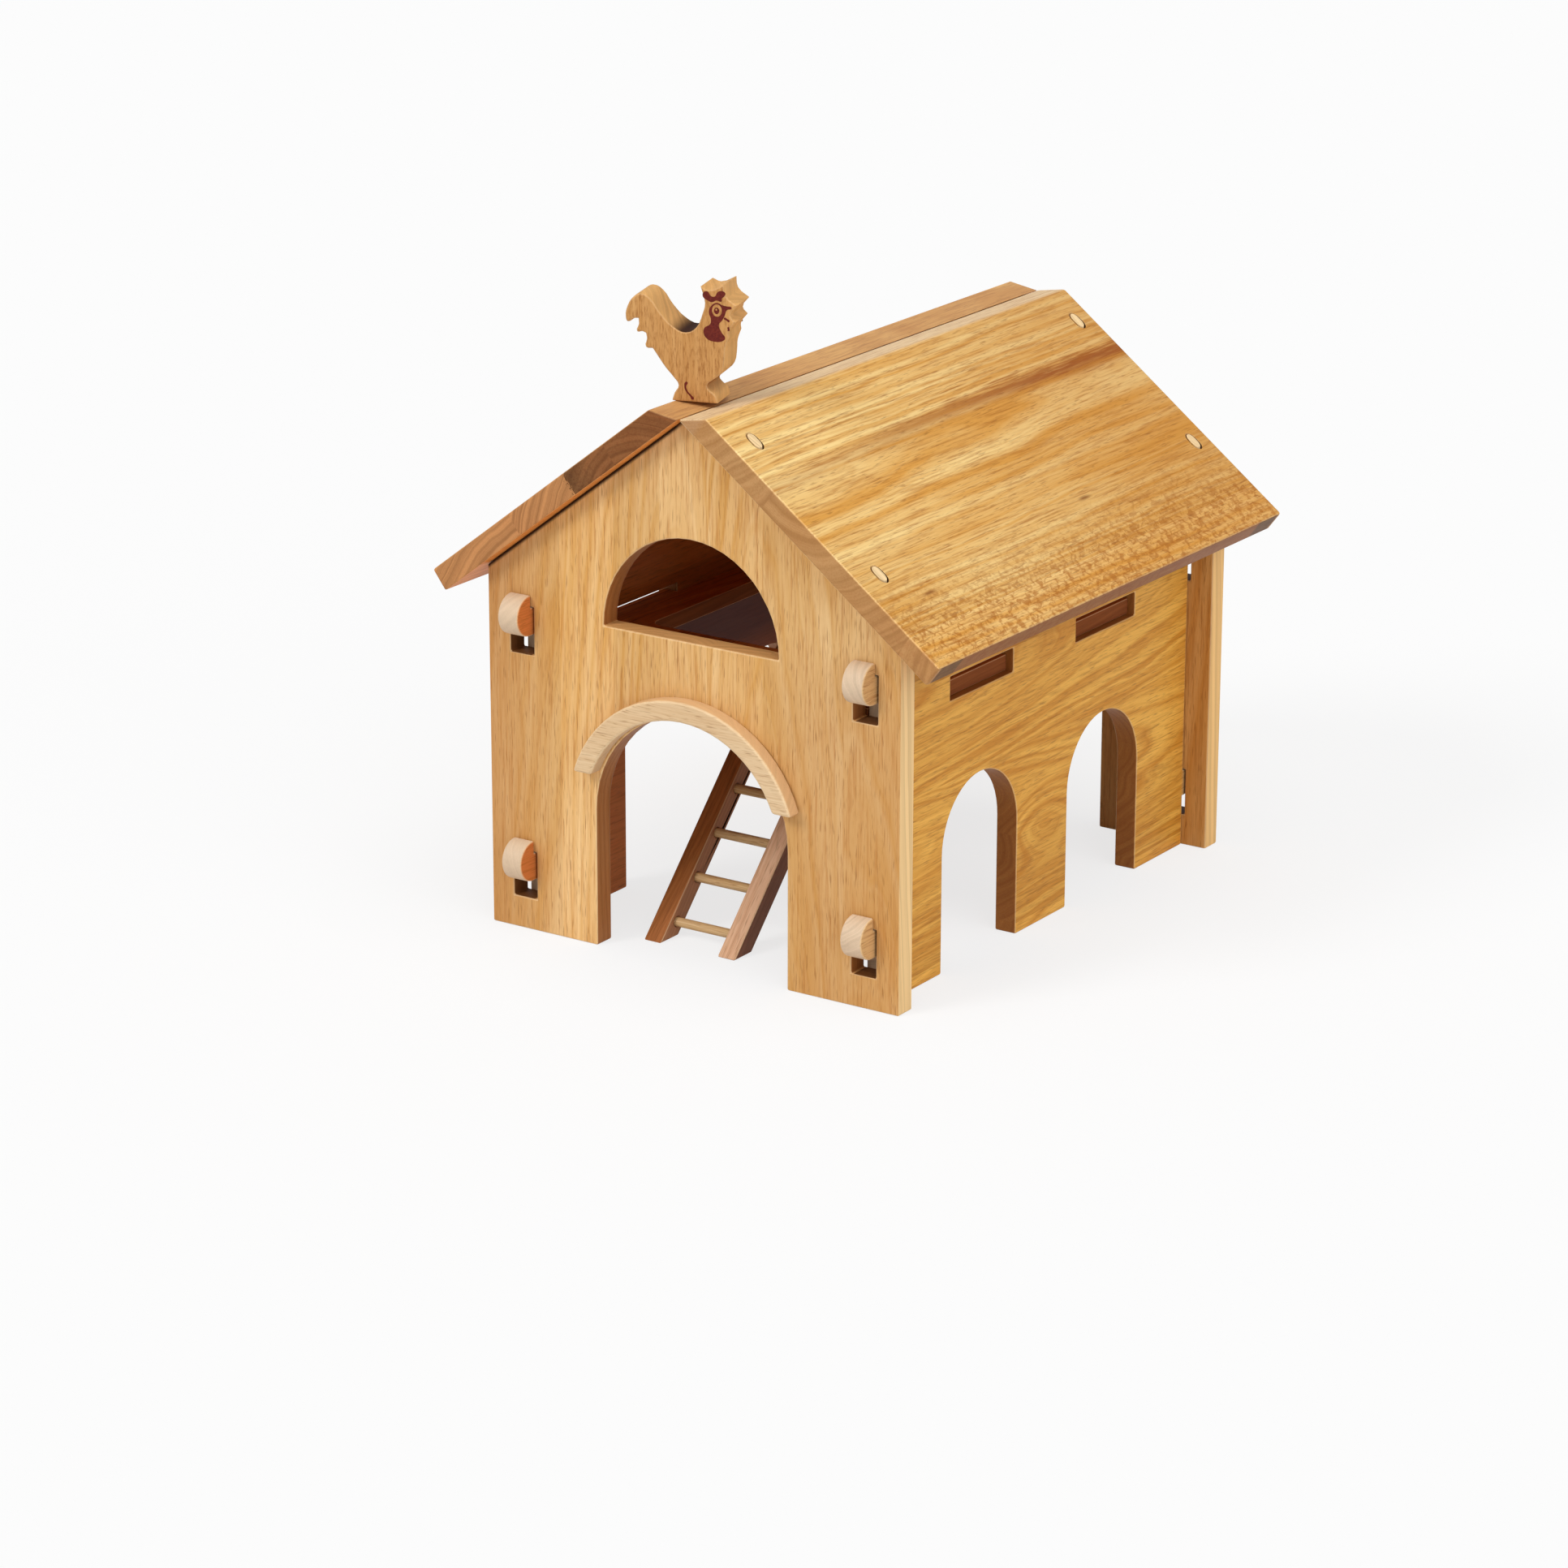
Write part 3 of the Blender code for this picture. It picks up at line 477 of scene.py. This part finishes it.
# Loft floor. A thin rubberwood board that rests by four tongues in the side walls' slots,
# with a routed hatch for the ladder. Its grain runs from front to back, and its colours are painted
# redder and darker as the shade inside the barn.
LOFT_EASE = 1 * MM
LOFT_COLOURS = {"pale": "#D87C3A", "honey": "#B65C24", "amber": "#783614", "end": "#8A5636",
                "reveal": "#7A4628"}
loft_wood, _ = lacquered_rubberwood("rubberwood_loft_shaded", "loft_floor", (0, 1, 0), (1, 0, 0),
                                    LOFT_COLOURS, 5.5, specular=0.05, roughness=0.8)
loft = eased_board("loft_floor", LOFT_EASE, loft_wood)
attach(loft, "barn")
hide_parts("loft_floor")


# Door moulding. A half ring sawn from one pale board, well rounded on its outer face
# and glued round the front archway.
TRIM_EASE = 2 * MM
# Wider than any small piece, so that each lies within one stave
ONE_STAVE = 200 * MM
TRIM_COLOURS = {"pale": "#E8CCA4", "honey": "#DAB588", "amber": "#B88656", "end": "#DDB684",
                "reveal": "#D9B080"}
trim_wood, _ = lacquered_rubberwood("rubberwood_moulding_satin", "door_arch_trim", (1, 0, 0), (0, 0, 1),
                                    TRIM_COLOURS, 6.2, stave=ONE_STAVE, line=2.2 * MM, dash=0.9 * MM,
                                    line_share=0.35, dash_share=0.5, ring_share=0.05)
trim = eased_board("door_arch_trim", TRIM_EASE, trim_wood)
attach(trim, "barn")
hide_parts("door_arch_trim")


# Ladder. Two square-sawn rails, a dark one and a pinkish one whose sides are painted dark as
# shade, with eight pale dowel rungs glued in blind holes. It leans in the hatch.
RAIL_EASE = 1 * MM
RUNGS = 8
LEAN = math.radians(43.7)
UP_RAIL = ((0, math.sin(LEAN), math.cos(LEAN)), (1, 0, 0))
LEFT_RAIL_COLOURS = {"pale": "#B8723E", "honey": "#985A2C", "amber": "#683A18", "end": "#AE7A56",
                     "reveal": "#AE7A56"}
# The right rail's cut faces are painted dark: painted shade on its sides
RIGHT_RAIL_COLOURS = {"pale": "#F0C8A4", "honey": "#DFAE88", "amber": "#B5805A", "end": "#6C3418",
                      "reveal": "#6C3418"}
DOWEL_COLOURS = {"pale": "#E4C498", "honey": "#D3A970", "amber": "#AD7C48", "end": "#C0935F",
                 "reveal": "#C0935F"}
for node, colours, seed in (("ladder_rail_left", LEFT_RAIL_COLOURS, 3.9),
                            ("ladder_rail_right", RIGHT_RAIL_COLOURS, 5.3)):
    wood, _ = lacquered_rubberwood("rubberwood_" + node, node, *UP_RAIL, colours, seed,
                                   stave=ONE_STAVE, line=2 * MM)
    rail = eased_board(node, RAIL_EASE, wood)
    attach(rail, "ladder")
    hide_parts(node)
dowel_wood, _ = lacquered_rubberwood("rubberwood_dowel_satin", "ladder_rung_1", (1, 0, 0), (0, 1, 0),
                                     DOWEL_COLOURS, 7.7, stave=ONE_STAVE, line=1.2 * MM,
                                     dash=0.7 * MM, cut_share=0, highlight_share=0)
for number in range(1, RUNGS + 1):
    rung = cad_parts[f"ladder_rung_{number}"]
    rung.data.materials.clear()
    rung.data.materials.append(dowel_wood)


# Roof boards. Two wide panels with level grain that meet on a flat planed ridge land.
# Four routed slots in each drop over the gables' tenons, so both lift straight off.
ROOF_EASE = 1.5 * MM
SLOT_EASE_SHARE = 0.3
ROOF_PITCH = math.radians(37.37)
ROOF_CREST = 364.9 * MM
ROOF_BOARD = 15 * MM
LOWER_RIM = 1.6 * MM
ROOF_REACH = (200 * MM, 1)
SLOT_FIELD = (22 * MM, 170 * MM)
SLOPE_RIGHT = (math.cos(ROOF_PITCH), 0, -math.sin(ROOF_PITCH))
SLOPE_LEFT = (-math.cos(ROOF_PITCH), 0, -math.sin(ROOF_PITCH))
# Their reveal colours are painted shade on the eaves, the sides of the land and the slots
RIGHT_COLOURS = {"pale": "#FBDA94", "honey": "#DDA04A", "amber": "#A8621C", "end": "#A9784A",
                 "reveal": "#7C4218"}
LEFT_COLOURS = {"pale": "#E2AE6A", "honey": "#C07E3C", "amber": "#904C1E", "end": "#B0784A",
                "reveal": "#84481C"}
BAND_DOWN = 81 * MM
BAND_HALF = 10 * MM
BAND_AMBER = "#9A4E16"
BAND_WAVE = (34 * MM, 22 * MM)
BAND_GROWS = (-110 * MM, 120 * MM)
REAR_AMBER = "#BE7C2E"
REAR_FADE = (-120 * MM, 190 * MM)
RIPPLE_DOWN = (180 * MM, 222 * MM)
RIPPLE_AMBER = "#A8641E"
RIPPLE_LONG = 5 * MM
RIPPLE_ACROSS = 4 * MM
LAND_DOWN = 27 * MM
LAND_FADE = 4 * MM
LAND_HIGHLIGHT = "#F0D2A8"
LAND_BROWN = "#C08A4E"
ROOF_SLOT_FROM_MIDDLE = 176 * MM
ROOF_SLOT_SHADE = "#4A2810"
EAVE_AMBER = "#CC8F3C"
EAVE_FADE = (110 * MM, 230 * MM)
FLECKS = ((184 * MM, -156 * MM), (167 * MM, 43 * MM))
FLECK_HALF_LENGTH = 8 * MM
FLECK_HALF_WIDTH = 1.4 * MM
FLECK_BROWN = "#7C4319"
HEARTWOOD_DOWN = 105.7 * MM
HEARTWOOD_FADE = (14 * MM, 6 * MM)
GLUE_LINE_WAVE = 16 * MM
HEARTWOOD_BROWN = "#6C381A"
UNDERSIDE_ORANGE = "#EE9648"
LOWER_RIM_SHADE = "#341808"
HEARTWOOD_EDGE = "#3E1A0A"


def down_slope(made, board, slope):
    """How far down the slope from the crest a point lies."""
    low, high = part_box(board)
    centre_down = ((low + high) / 2 - Vector((0, 0, ROOF_CREST))).dot(Vector(slope))
    return add_node(made["tree"], "Math", {1: centre_down}, {0: made["axes"].outputs["Y"]},
                    operation="ADD")


def roof_share(a, b):
    """The slots' rims are crisp: their edges lie inside the board's outline."""
    inside = all(abs(p.y) < ROOF_REACH[0] and SLOT_FIELD[0] < abs(p.x) < SLOT_FIELD[1] for p in (a, b))
    return SLOT_EASE_SHARE if inside else 1


roof_right_wood, made = lacquered_rubberwood("rubberwood_roof_right_satin", "roof_right", (0, 1, 0),
                                             SLOPE_RIGHT, RIGHT_COLOURS, 9.1, stave=85 * MM,
                                             pith=26 * MM, tilt=0.02, line=4.6 * MM, line_share=0.9,
                                             dash_share=0.8, reach=ROOF_REACH, highlight_share=0.15)
tree = made["tree"]
down = down_slope(made, "roof_right", SLOPE_RIGHT)
back = made["axes"].outputs["X"]
# The board turns golden towards the rear
rear = add_node(tree, "MapRange", {"From Min": REAR_FADE[0], "From Max": REAR_FADE[1], "To Max": 0.45},
                {"Value": back}, interpolation_type="SMOOTHSTEP")
lay_over(made["ground"], rear, REAR_AMBER)
low_half = add_node(tree, "MapRange", {"From Min": EAVE_FADE[0], "From Max": EAVE_FADE[1], "To Max": 0.4},
                    {"Value": down})
lay_over(made["ground"], low_half, EAVE_AMBER)
# An amber growth band lies a third of the way down and grows stronger to the rear
waved = add_node(tree, "Math", {1: BAND_WAVE[0]}, {0: made["tone"], 2: down}, operation="MULTIPLY_ADD")
from_band = add_node(tree, "Math", {1: BAND_WAVE[1]}, {0: made["dashes"], 2: waved},
                     operation="MULTIPLY_ADD")
from_band = add_node(tree, "Math", {1: BAND_DOWN + sum(BAND_WAVE) / 2}, {0: from_band},
                     operation="SUBTRACT")
from_band = add_node(tree, "Math", links={0: from_band}, operation="ABSOLUTE")
band = add_node(tree, "MapRange", {"From Min": BAND_HALF, "From Max": 0, "To Max": 0.95},
                {"Value": from_band}, interpolation_type="SMOOTHSTEP")
growing = add_node(tree, "MapRange", {"From Min": BAND_GROWS[0], "From Max": BAND_GROWS[1], "To Min": 0.3},
                   {"Value": back})
band = add_node(tree, "Math", links={0: band, 1: growing}, operation="MULTIPLY")
lay_over(made["ground"], band, BAND_AMBER)
# Curly ripples cross the grain along the eave
ripple_at = add_node(tree, "VectorMath", {1: (1 / RIPPLE_LONG, 1 / RIPPLE_ACROSS, 1 / RIPPLE_LONG)},
                     {0: made["place"]}, operation="MULTIPLY")
ripple = add_node(tree, "TexNoise", {"Scale": 1, "Detail": 2, "Roughness": 0.6, "Distortion": 0.8},
                  {"Vector": ripple_at})
ripple = add_node(tree, "MapRange", {"From Min": 0.46, "From Max": 0.62, "To Max": 0.7},
                  {"Value": ripple})
low_down = add_node(tree, "MapRange", {"From Min": RIPPLE_DOWN[0], "From Max": RIPPLE_DOWN[1]},
                    {"Value": waved})
ripple = add_node(tree, "Math", links={0: ripple, 1: low_down}, operation="MULTIPLY")
lay_over(made["ground"], ripple, RIPPLE_AMBER)
# The planed land along the ridge is painted paler than the face: a painted highlight
land = add_node(tree, "MapRange", {"From Min": LAND_DOWN, "From Max": LAND_DOWN - LAND_FADE,
                                   "To Max": 0.85}, {"Value": down})
lay_over(made["ground"], land, LAND_HIGHLIGHT)
# Two short dark mineral streaks
fleck_place = add_node(tree, "CombineXYZ", links={0: back, 1: down})
for fleck_down, fleck_back in FLECKS:
    away = add_node(tree, "VectorMath", {1: (fleck_back, fleck_down, 0)}, {0: fleck_place},
                    operation="SUBTRACT")
    away = add_node(tree, "VectorMath", {1: (1 / FLECK_HALF_LENGTH, 1 / FLECK_HALF_WIDTH, 0)},
                    {0: away}, operation="MULTIPLY")
    away = add_node(tree, "VectorMath", links={0: away}, operation="LENGTH")
    ragged = add_node(tree, "Math", links={0: away.outputs["Value"], 1: made["dashes"]},
                      operation="MULTIPLY")
    fleck = add_node(tree, "MapRange", {"From Min": 0.6, "From Max": 0.15, "To Max": 0.75},
                     {"Value": ragged})
    lay_over(made["ground"], fleck, FLECK_BROWN)


def shade_slots(made):
    """The routed slots are painted dark: painted shade inside them."""
    lengthwise = add_node(made["tree"], "Math", links={0: made["axes"].outputs["X"]},
                          operation="ABSOLUTE")
    at_slot = add_node(made["tree"], "Math", {1: ROOF_SLOT_FROM_MIDDLE}, {0: lengthwise},
                       operation="GREATER_THAN")
    lay_over(made["reveal"], at_slot, ROOF_SLOT_SHADE)


shade_slots(made)

roof_left_wood, made = lacquered_rubberwood("rubberwood_roof_left_satin", "roof_left", (0, 1, 0),
                                            SLOPE_LEFT, LEFT_COLOURS, 6.6, stave=70 * MM,
                                            pith=60 * MM, line=3.2 * MM, line_share=0.8,
                                            reach=ROOF_REACH, ring_share=0.25, highlight_share=0.1)
# The upper stave is dark heartwood: its sawn end shows at the gable, with a ragged glue line
tree = made["tree"]
down = down_slope(made, "roof_left", SLOPE_LEFT)
ragged = add_node(tree, "Math", {1: GLUE_LINE_WAVE}, {0: made["dashes"], 2: down},
                  operation="MULTIPLY_ADD")
upper = add_node(tree, "Math", {1: HEARTWOOD_DOWN + GLUE_LINE_WAVE / 2}, {0: ragged},
                 operation="LESS_THAN")
lay_over(made["end"], upper, HEARTWOOD_BROWN)
darkest = add_node(tree, "MapRange", {"From Min": HEARTWOOD_DOWN - HEARTWOOD_FADE[0],
                                      "From Max": HEARTWOOD_DOWN + HEARTWOOD_FADE[1], "To Max": 0.85},
                   {"Value": ragged})
darkest = add_node(tree, "Math", links={0: darkest, 1: upper}, operation="MULTIPLY")
lay_over(made["end"], darkest, HEARTWOOD_EDGE)
land = add_node(tree, "MapRange", {"From Min": LAND_DOWN, "From Max": LAND_DOWN - LAND_FADE,
                                   "To Max": 0.5}, {"Value": down})
lay_over(made["ground"], land, LAND_BROWN)
shade_slots(made)
# Its underside is coloured a stronger orange, and the lower rim of its ends is painted with the seam's shade
below = add_node(tree, "SeparateXYZ", links={0: made["normal"]})
below = add_node(tree, "MapRange", {"From Min": -0.5, "From Max": -0.7, "To Max": 0.85},
                 {"Value": below.outputs["Z"]})
lay_over(made["ground"], below, UNDERSIDE_ORANGE)
low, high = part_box("roof_left")
rim = add_node(tree, "Math", {1: LOWER_RIM - ROOF_BOARD / 2}, {0: made["axes"].outputs["Z"]},
               operation="LESS_THAN")
lengthwise = add_node(tree, "Math", links={0: made["axes"].outputs["X"]},
                      operation="ABSOLUTE")
at_end = add_node(tree, "Math", {1: (high.y - low.y) / 2 - 1.2 * ROOF_EASE}, {0: lengthwise},
                  operation="GREATER_THAN")
rim = add_node(tree, "Math", links={0: rim, 1: at_end}, operation="MULTIPLY")
rim = add_node(tree, "Math", {1: 0.9}, {0: rim}, operation="MULTIPLY")
lay_over(made["surface"], rim, LOWER_RIM_SHADE)

for node, wood, body in (("roof_right", roof_right_wood, "right_roof_board"),
                         ("roof_left", roof_left_wood, "left_roof_board")):
    roof = eased_board(node, ROOF_EASE, wood, roof_share)
    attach(roof, body)
    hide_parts(node)


# Rooster. Sawn with its grain upright from a thick board and rounded over, on a dowel peg.
# Comb, face and eye are printed in maroon on both faces, and the sawn saddle is coloured dark brown.
ROOSTER_EASE = 1.3 * MM
ROOSTER_THICK = 26 * MM
ROOSTER_YAW = math.radians(17)
ROOSTER_SOLE = Vector((-11.5, -161.7, 349.55)) * MM
ROOSTER_ALONG = Vector((math.cos(ROOSTER_YAW), math.sin(ROOSTER_YAW), 0))
ROOSTER_COLOURS = {"pale": "#D8A569", "honey": "#BD8549", "amber": "#905627", "end": "#DBA868",
                   "reveal": "#DBA868"}
# Each dark spot: along, up, its radius and its colour. The first darkens the sawn saddle, the second is
# painted shade in the ankle notch
DARK_SPOTS = ((-2.5 * MM, 43 * MM, 16 * MM, "#351608"),
            (10.5 * MM, 12 * MM, 6 * MM, "#9A6230"))
PRINT_THICK = 0.12 * MM
PRINT_SUNK = 0.03 * MM
PRINT_LINE = 1.05 * MM
# Outlines of the print, in millimetres along the rooster from its axis and up from its sole.
# The rear comb print is set further in from the comb's edge.
REAR_COMB_INWARD = 2.2
COMB_MARK = ((5, 64.5), (6, 67.1), (8.2, 67.2), (10.2, 64.7), (12.5, 64.7), (14, 67.1), (16.5, 68.2),
             (19, 66.9), (18.2, 65), (16.8, 63.6), (16.6, 61.9), (13.5, 62.3), (11, 61.2), (8, 62))
FACE_MARK = ((17.5, 59.6), (20, 59.2), (22.6, 58.8), (22.6, 58), (20, 57), (18.5, 53.5), (17, 50.5),
             (15, 48), (16.5, 43.5), (18.8, 40), (17.5, 38.3), (12, 37.5), (7.5, 39), (5.5, 42.5),
             (6.2, 45.5), (9.5, 47.8), (10, 51), (8.8, 55), (10.2, 58.8), (13.5, 60.9))
# Eye, pupil and glint: along, up, half width and half height of each ring
EYE_RINGS = ((13.8, 56.3, 3, 3.7), (13.6, 56.1, 1.6, 2), (13.4, 56.8, 0.55, 0.6))
BEAK_LINE = ((18.3, 52), (19.8, 51.2), (21.3, 50.2))
CHIN_LINE = ((20.6, 46.6), (20.9, 45.7), (21, 44.6))
LEG_LINE = ((-5, 11.8), (-6, 9), (-5, 6.2), (-2.6, 3.6), (-1, 1.6))


def rooster_share(a, b):
    """The sawn outline's own corners stay crisp; only the rims of the two faces are rounded well."""
    through = ROOSTER_ALONG.cross(Vector((0, 0, 1)))
    return 0.2 if abs((b - a).normalized().dot(through)) > 0.9 else 1


rooster_wood, made = lacquered_rubberwood("rubberwood_rooster_satin", "rooster", (0, 0, 1),
                                          ROOSTER_ALONG, ROOSTER_COLOURS, 11.3, stave=ONE_STAVE,
                                          line=2.6 * MM, dash=1 * MM, dash_long=6 * MM, line_share=0.4,
                                          dash_share=0.85, highlight_share=0.15, reach=(0, 0),
                                          specular=0.06)
tree = made["tree"]
for along, up, radius, brown in DARK_SPOTS:
    darkening_place = ROOSTER_SOLE + ROOSTER_ALONG * along + Vector((0, 0, up))
    darkening_place = made["turn"] @ darkening_place + made["shift"]
    in_plane = add_node(tree, "VectorMath", {1: darkening_place}, {0: made["place"]},
                        operation="SUBTRACT")
    in_plane = add_node(tree, "VectorMath", {1: (1, 1, 0)}, {0: in_plane},
                        operation="MULTIPLY")
    in_plane = add_node(tree, "VectorMath", links={0: in_plane}, operation="LENGTH")
    darkening = add_node(tree, "MapRange", {"From Min": radius, "From Max": radius / 3,
                                         "To Max": 1.17},
                      {"Value": in_plane.outputs["Value"]}, interpolation_type="SMOOTHSTEP")
    darkening = add_node(tree, "Math", links={0: darkening, 1: made["cut_part"]},
                      operation="MULTIPLY", use_clamp=True)
    lay_over(made["surface"], darkening, brown)
rooster = eased_board("rooster", ROOSTER_EASE, rooster_wood, rooster_share)
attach(rooster, "rooster_figure")
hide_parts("rooster")
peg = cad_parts["rooster_peg"]
peg.data.materials.clear()
peg.data.materials.append(dowel_wood)

# Screen-printed maroon ink: matt, opaque, a little uneven where it lies thin over the pores
ink = bpy.data.materials.new("maroon_screen_print")
ink.use_nodes = True
tree = ink.node_tree
shader = tree.nodes["Principled BSDF"]
spot = add_node(tree, "TexCoord")
thin = add_node(tree, "TexNoise", {"Scale": 1 / (1.2 * MM), "Detail": 3, "Roughness": 0.6},
                {"Vector": spot.outputs["Object"]})
thin = add_node(tree, "MapRange", {"From Min": 0.35, "From Max": 0.7}, {"Value": thin})
inked = add_node(tree, "Mix", {"A": linear("#5A1712"), "B": linear("#74291C")}, {"Factor": thin},
                 data_type="RGBA")
tree.links.new(inked.outputs["Result"], shader.inputs["Base Color"])
shader.inputs["Roughness"].default_value = 0.55
shader.inputs["Specular IOR Level"].default_value = 0.2


def drawn_line(points):
    """The outline of a thin line through the points: out along one side and back along the other."""
    sides = ([], [])
    for number, point in enumerate(points):
        before = Vector(points[max(number - 1, 0)])
        after = Vector(points[min(number + 1, len(points) - 1)])
        along = (after - before).normalized()
        aside = Vector((-along.y, along.x)) * PRINT_LINE / MM / 2
        sides[0].append(Vector(point) + aside)
        sides[1].append(Vector(point) - aside)
    return sides[0] + sides[1][::-1]


def printed_mark(name, outlines, face):
    """A thin flat mark on one face of the rooster: 1 is the face to the front, -1 the rear one."""
    curve = bpy.data.curves.new(name, "CURVE")
    curve.dimensions = "2D"
    curve.fill_mode = "BOTH"
    curve.extrude = PRINT_THICK / 2
    curve.resolution_u = 5
    for points in outlines:
        spline = curve.splines.new("BEZIER")
        spline.bezier_points.add(len(points) - 1)
        for knot, (along, up) in zip(spline.bezier_points, points):
            knot.co = (along * MM, up * MM, 0)
            knot.handle_left_type = "AUTO"
            knot.handle_right_type = "AUTO"
        spline.use_cyclic_u = True
    mark = bpy.data.objects.new(name, curve)
    bpy.context.scene.collection.objects.link(mark)
    bpy.ops.object.select_all(action="DESELECT")
    mark.select_set(True)
    bpy.context.view_layer.objects.active = mark
    bpy.ops.object.convert(target="MESH")
    mark = bpy.context.object
    outward = ROOSTER_ALONG.cross(Vector((0, 0, 1)))
    stand = Matrix((ROOSTER_ALONG, Vector((0, 0, 1)), outward)).transposed().to_4x4()
    out = ROOSTER_THICK / 2 + PRINT_THICK / 2 - PRINT_SUNK
    mark.matrix_world = Matrix.Translation(ROOSTER_SOLE + outward * out * face) @ stand
    bpy.ops.object.transform_apply(location=True, rotation=True, scale=True)
    bpy.ops.object.mode_set(mode="EDIT")
    bpy.ops.mesh.select_all(action="SELECT")
    bpy.ops.mesh.remove_doubles(threshold=0.001 * MM)
    bpy.ops.mesh.normals_make_consistent(inside=False)
    bpy.ops.object.mode_set(mode="OBJECT")
    mark.data.materials.clear()
    mark.data.materials.append(ink)
    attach(mark, "rooster_figure")


eye = []
for centre_along, centre_up, half_width, half_height in EYE_RINGS:
    ring = []
    for step in range(8):
        angle = math.radians(45 * step)
        ring.append((centre_along + half_width * math.cos(angle),
                     centre_up + half_height * math.sin(angle)))
    eye.append(ring)
for side, face, inward in (("front", 1, 0), ("rear", -1, REAR_COMB_INWARD)):
    comb = [(along - inward, up) for along, up in COMB_MARK]
    printed_mark(f"rooster_comb_print_{side}", [comb], face)
    printed_mark(f"rooster_face_print_{side}", [FACE_MARK, eye[0]], face)
    printed_mark(f"rooster_eye_print_{side}", eye[1:], face)
    lines = [drawn_line(points) for points in (BEAK_LINE, CHIN_LINE, LEG_LINE)]
    printed_mark(f"rooster_line_print_{side}", lines, face)


# Floor, light and camera. A plain pale floor, three large soft lamps and an even white surround.
# The camera looks from the right of the front gable and from a little above it.
FLOOR_SIZE = 16
FLOOR_GLOW_SHARE = 0.75
SURROUND_STRENGTH = 0.38
bpy.ops.object.select_all(action="DESELECT")
bpy.ops.mesh.primitive_plane_add(size=FLOOR_SIZE, location=(0, 0, 0))
floor = bpy.context.object
floor.name = "studio_floor"
# Matt white paper: no gloss at all, and seen by the camera it melts into the white surround
paper = bpy.data.materials.new("matt_white_paper")
paper.use_nodes = True
tree = paper.node_tree
shader = tree.nodes["Principled BSDF"]
shader.inputs["Base Color"].default_value = linear("#E7E7E7")
shader.inputs["Roughness"].default_value = 0.9
shader.inputs["Specular IOR Level"].default_value = 0
glow = add_node(tree, "Emission", {"Color": (1, 1, 1, 1), "Strength": 1})
rays = add_node(tree, "LightPath")
seen = add_node(tree, "Math", links={0: rays.outputs["Is Camera Ray"], 1: rays.outputs["Is Glossy Ray"]},
                operation="MAXIMUM")
seen = add_node(tree, "Math", links={0: seen, 1: rays.outputs["Is Transmission Ray"]},
                operation="MAXIMUM")
seen = add_node(tree, "Math", {1: FLOOR_GLOW_SHARE}, {0: seen}, operation="MULTIPLY")
mix = add_node(tree, "MixShader", links={0: seen, 1: shader, 2: glow})
tree.links.new(mix.outputs[0], tree.nodes["Material Output"].inputs["Surface"])
floor.data.materials.append(paper)
floor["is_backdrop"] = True

world = bpy.data.worlds.new("even_white_surround")
bpy.context.scene.world = world
world.use_nodes = True
tree = world.node_tree
sky = tree.nodes["Background"]
sky.inputs["Color"].default_value = (1, 1, 1, 1)
rays = add_node(tree, "LightPath")
white = add_node(tree, "MapRange", {"To Min": SURROUND_STRENGTH, "To Max": 1},
                 {"Value": rays.outputs["Is Camera Ray"]})
tree.links.new(white.outputs[0], sky.inputs["Strength"])

# Each lamp: name, strength, angle across in degrees, and the way to it from the barn
for name, strength, width, towards in (("soft_key", 1.3, 22, (-0.35, -0.7, 0.62)),
                                       ("soft_top", 1.2, 50, (0.2, -0.15, 0.97)),
                                       ("soft_fill", 0.9, 60, (0.87, -0.33, 0.4))):
    lamp_data = bpy.data.lights.new(name, "SUN")
    lamp_data.energy = strength
    lamp_data.angle = math.radians(width)
    lamp = bpy.data.objects.new(name, lamp_data)
    lamp.rotation_euler = Vector(towards).to_track_quat("Z", "Y").to_euler()
    bpy.context.scene.collection.objects.link(lamp)

CAMERA_AZIMUTH = math.radians(33.842)
CAMERA_ELEVATION = math.radians(18.402)
CAMERA_ROLL = math.radians(0.108)
CAMERA_AIM = Vector((0, -41.5 * MM, 180 * MM))
CAMERA_DISTANCE = 3281.2 * MM
CAMERA_SHIFT_RIGHT = -27.36 * MM
CAMERA_SHIFT_UP = -98.22 * MM
CAMERA_LENS = 121.448
flat = math.cos(CAMERA_ELEVATION)
back = Vector((math.sin(CAMERA_AZIMUTH) * flat, -math.cos(CAMERA_AZIMUTH) * flat, math.sin(CAMERA_ELEVATION)))
level = Vector((math.cos(CAMERA_AZIMUTH), math.sin(CAMERA_AZIMUTH), 0))
upward = back.cross(level)
right = level * math.cos(CAMERA_ROLL) + upward * math.sin(CAMERA_ROLL)
up = upward * math.cos(CAMERA_ROLL) - level * math.sin(CAMERA_ROLL)
camera_data = bpy.data.cameras.new("photo_camera")
camera_data.lens = CAMERA_LENS
camera_data.sensor_width = 36
camera_data.clip_end = 50
camera = bpy.data.objects.new("photo_camera", camera_data)
camera.matrix_world = Matrix((right, up, back)).transposed().to_4x4()
camera.location = CAMERA_AIM + back * CAMERA_DISTANCE + right * CAMERA_SHIFT_RIGHT + up * CAMERA_SHIFT_UP
bpy.context.scene.collection.objects.link(camera)
bpy.context.scene.camera = camera
bpy.context.scene.view_settings.view_transform = "Standard"

low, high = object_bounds()
